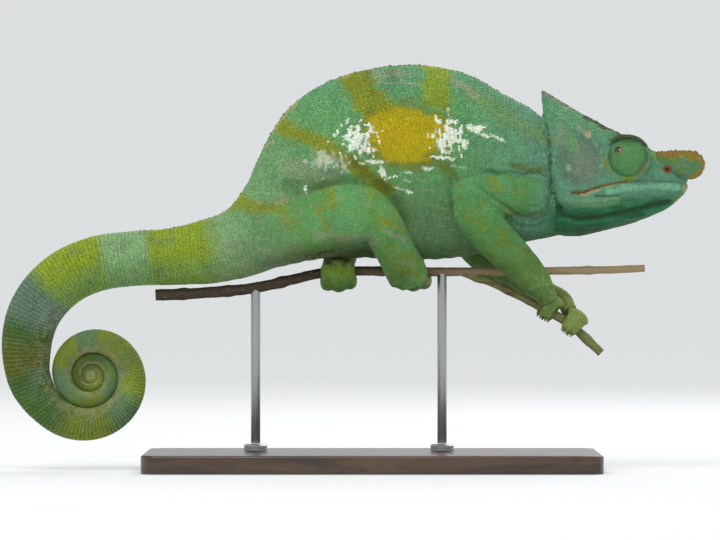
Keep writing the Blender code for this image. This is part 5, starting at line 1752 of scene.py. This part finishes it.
def animal():
    """Skin, coat, eyes, horns and claws."""
    forms, claws = animal_forms()
    chart = Chart(forms)
    skin = whole_skin(forms, chart)
    points = points_of(skin)
    painted(skin, markings(points, normals_of(skin), chart, chart.nearest(points)))
    dressed("skin", skin, skin_finish(), FLESH)
    tree, wart_tree = scale_tree("flat_scales", 0.74), scale_tree("round_warts", 0.5)
    scales = scale_finish()
    for piece in coat_pieces(Coat(skin, forms, chart), forms, chart, tree, scales):
        dressed(piece.name, piece, scales, [])
    surface = BVHTree.FromPolygons(points.tolist(), [list(f.vertices) for f in skin.polygons])
    turret_skin, wet, horn_slot = turret_finish(), eyeball_finish(), "horn"
    for side, out in (("right", -1), ("left", 1)):
        turret = loft_mesh(f"eye_turret_{side}", [turret_rings(out)])
        painted(turret, turret_colours(points_of(turret), out))
        dressed(f"eye_turret_{side}", turret, turret_skin, [f"eye_{side}"])
        ball = loft_mesh(f"eye_ball_{side}", [eyeball_rings(out)])
        painted(ball, eyeball_colours(points_of(ball), out))
        dressed(f"eye_ball_{side}", ball, wet, [])
        root, facing, along, size = turret_coat(out)
        place = unrolled(root, eye_centre(out), 1)
        fine = grown(f"eye_scales_{side}", tree, root, facing, along, size,
                     turret_colours(root, out), place, scales)
        dressed(fine.name, fine, scales, [])
        rings = horn_form(out)
        horn = loft_mesh(f"horn_blade_{side}", [rings])
        painted(horn, horn_colours(points_of(horn)))
        dressed(f"horn_blade_{side}", horn, turret_skin, [f"horn_{side}"])
        root, facing, along, size = horn_coat(out, rings, surface)
        place = unrolled(root, nearest_axis(root, rings), 0)
        warts = grown(f"horn_scales_{side}", wart_tree, root, facing, along, size,
                      horn_colours(root), place, scales)
        dressed(warts.name, warts, scales, [])
    dressed("claws", loft_mesh("claws", claws), claw_finish(), [])


def perch():
    barks = {
        "main": bark_finish("red_brown_bark", (0.024, 0.014, 0.008), (0.08, 0.048, 0.024),
                            (0.04, 0.032, 0.014), worn=(0.40, 0.29, 0.155)),
        "fork": bark_finish("grey_green_bark", (0.07, 0.065, 0.02), (0.24, 0.215, 0.07), (0.14, 0.19, 0.045)),
    }
    for name, table, seed in (("main", MAIN_TWIG, 71), ("fork", FORK_TWIG, 75)):
        mesh = loft_mesh(f"twig_{name}", [twig_rings(name, table, seed)])
        mesh.set_sharp_from_angle(angle=math.radians(50))
        dressed(f"twig_{name}", mesh, barks[name], [f"perch_{name}"])


def stand():
    metal = brushed_metal()
    dressed("stand_board", base_mesh(), varnished_wood(), ["stand_base"])
    for label, x in zip(("rear", "front"), ROD_PLACES):
        for part, profile in (("collar", collar_profile()), ("rod", rod_profile(x))):
            mesh = loft_mesh(f"stand_{part}_{label}_turned", [turned((0, 0, 1), (x, 0, 0), profile, 48)])
            mesh.set_sharp_from_angle(angle=math.radians(35))
            dressed(mesh.name, mesh, metal, [f"stand_{part}_{label}"])


def studio():
    """A pale floor that runs into a room as pale as itself, and two large soft lights."""
    work = bmesh.new()
    bmesh.ops.create_circle(work, cap_ends=True, radius=FLOOR_RADIUS, segments=96)
    mesh = bpy.data.meshes.new("floor")
    work.to_mesh(mesh)
    work.free()
    floor = linked("floor", mesh)
    floor.location.z = -0.0002
    pale = Finish("pale_floor", roughness=1.0)
    pale.shader.inputs["Base Color"].default_value = (FLOOR_SHADE, FLOOR_SHADE, FLOOR_SHADE, 1)
    pale.shader.inputs["Specular IOR Level"].default_value = 0.0
    pale.shader.inputs["Emission Color"].default_value = (*ROOM_LIGHT, 1)
    pale.shader.inputs["Emission Strength"].default_value = 1 - FLOOR_SHADE
    mesh.materials.append(pale.material)
    world = bpy.data.worlds.new("pale_room")
    world.use_nodes = True
    world.node_tree.nodes["Background"].inputs["Color"].default_value = (*ROOM_LIGHT, 1)
    bpy.context.scene.world = world
    bpy.context.scene.view_settings.view_transform = "Standard"
    for name, place, aim, size, power in (
        ("key", (-0.45, -0.85, 1.45), (0, 0, 0.12), 0.9, 11.0),
        ("rim", (0.5, 0.9, 1.0), (0, 0, 0.12), 0.9, 6.0),
    ):
        lamp = bpy.data.lights.new(name, "AREA")
        lamp.size, lamp.energy = size, power
        held = bpy.data.objects.new(name, lamp)
        bpy.context.scene.collection.objects.link(held)
        held.location = place
        held.rotation_euler = (Vector(aim) - Vector(place)).to_track_quat("-Z", "Y").to_euler()


def camera():
    data = bpy.data.cameras.new("camera")
    data.sensor_width = SENSOR
    data.lens = SENSOR * CAMERA_AWAY / FRAME_WIDTH
    held = bpy.data.objects.new("camera", data)
    held.location = (Vector(CAMERA_AIM) - Vector((0, CAMERA_AWAY, 0))) * MM
    held.rotation_euler = (math.pi / 2, 0, 0)
    data.clip_start, data.clip_end = 0.05, 100.0
    bpy.context.scene.collection.objects.link(held)
    bpy.context.scene.camera = held


animal()
perch()
stand()
studio()
camera()
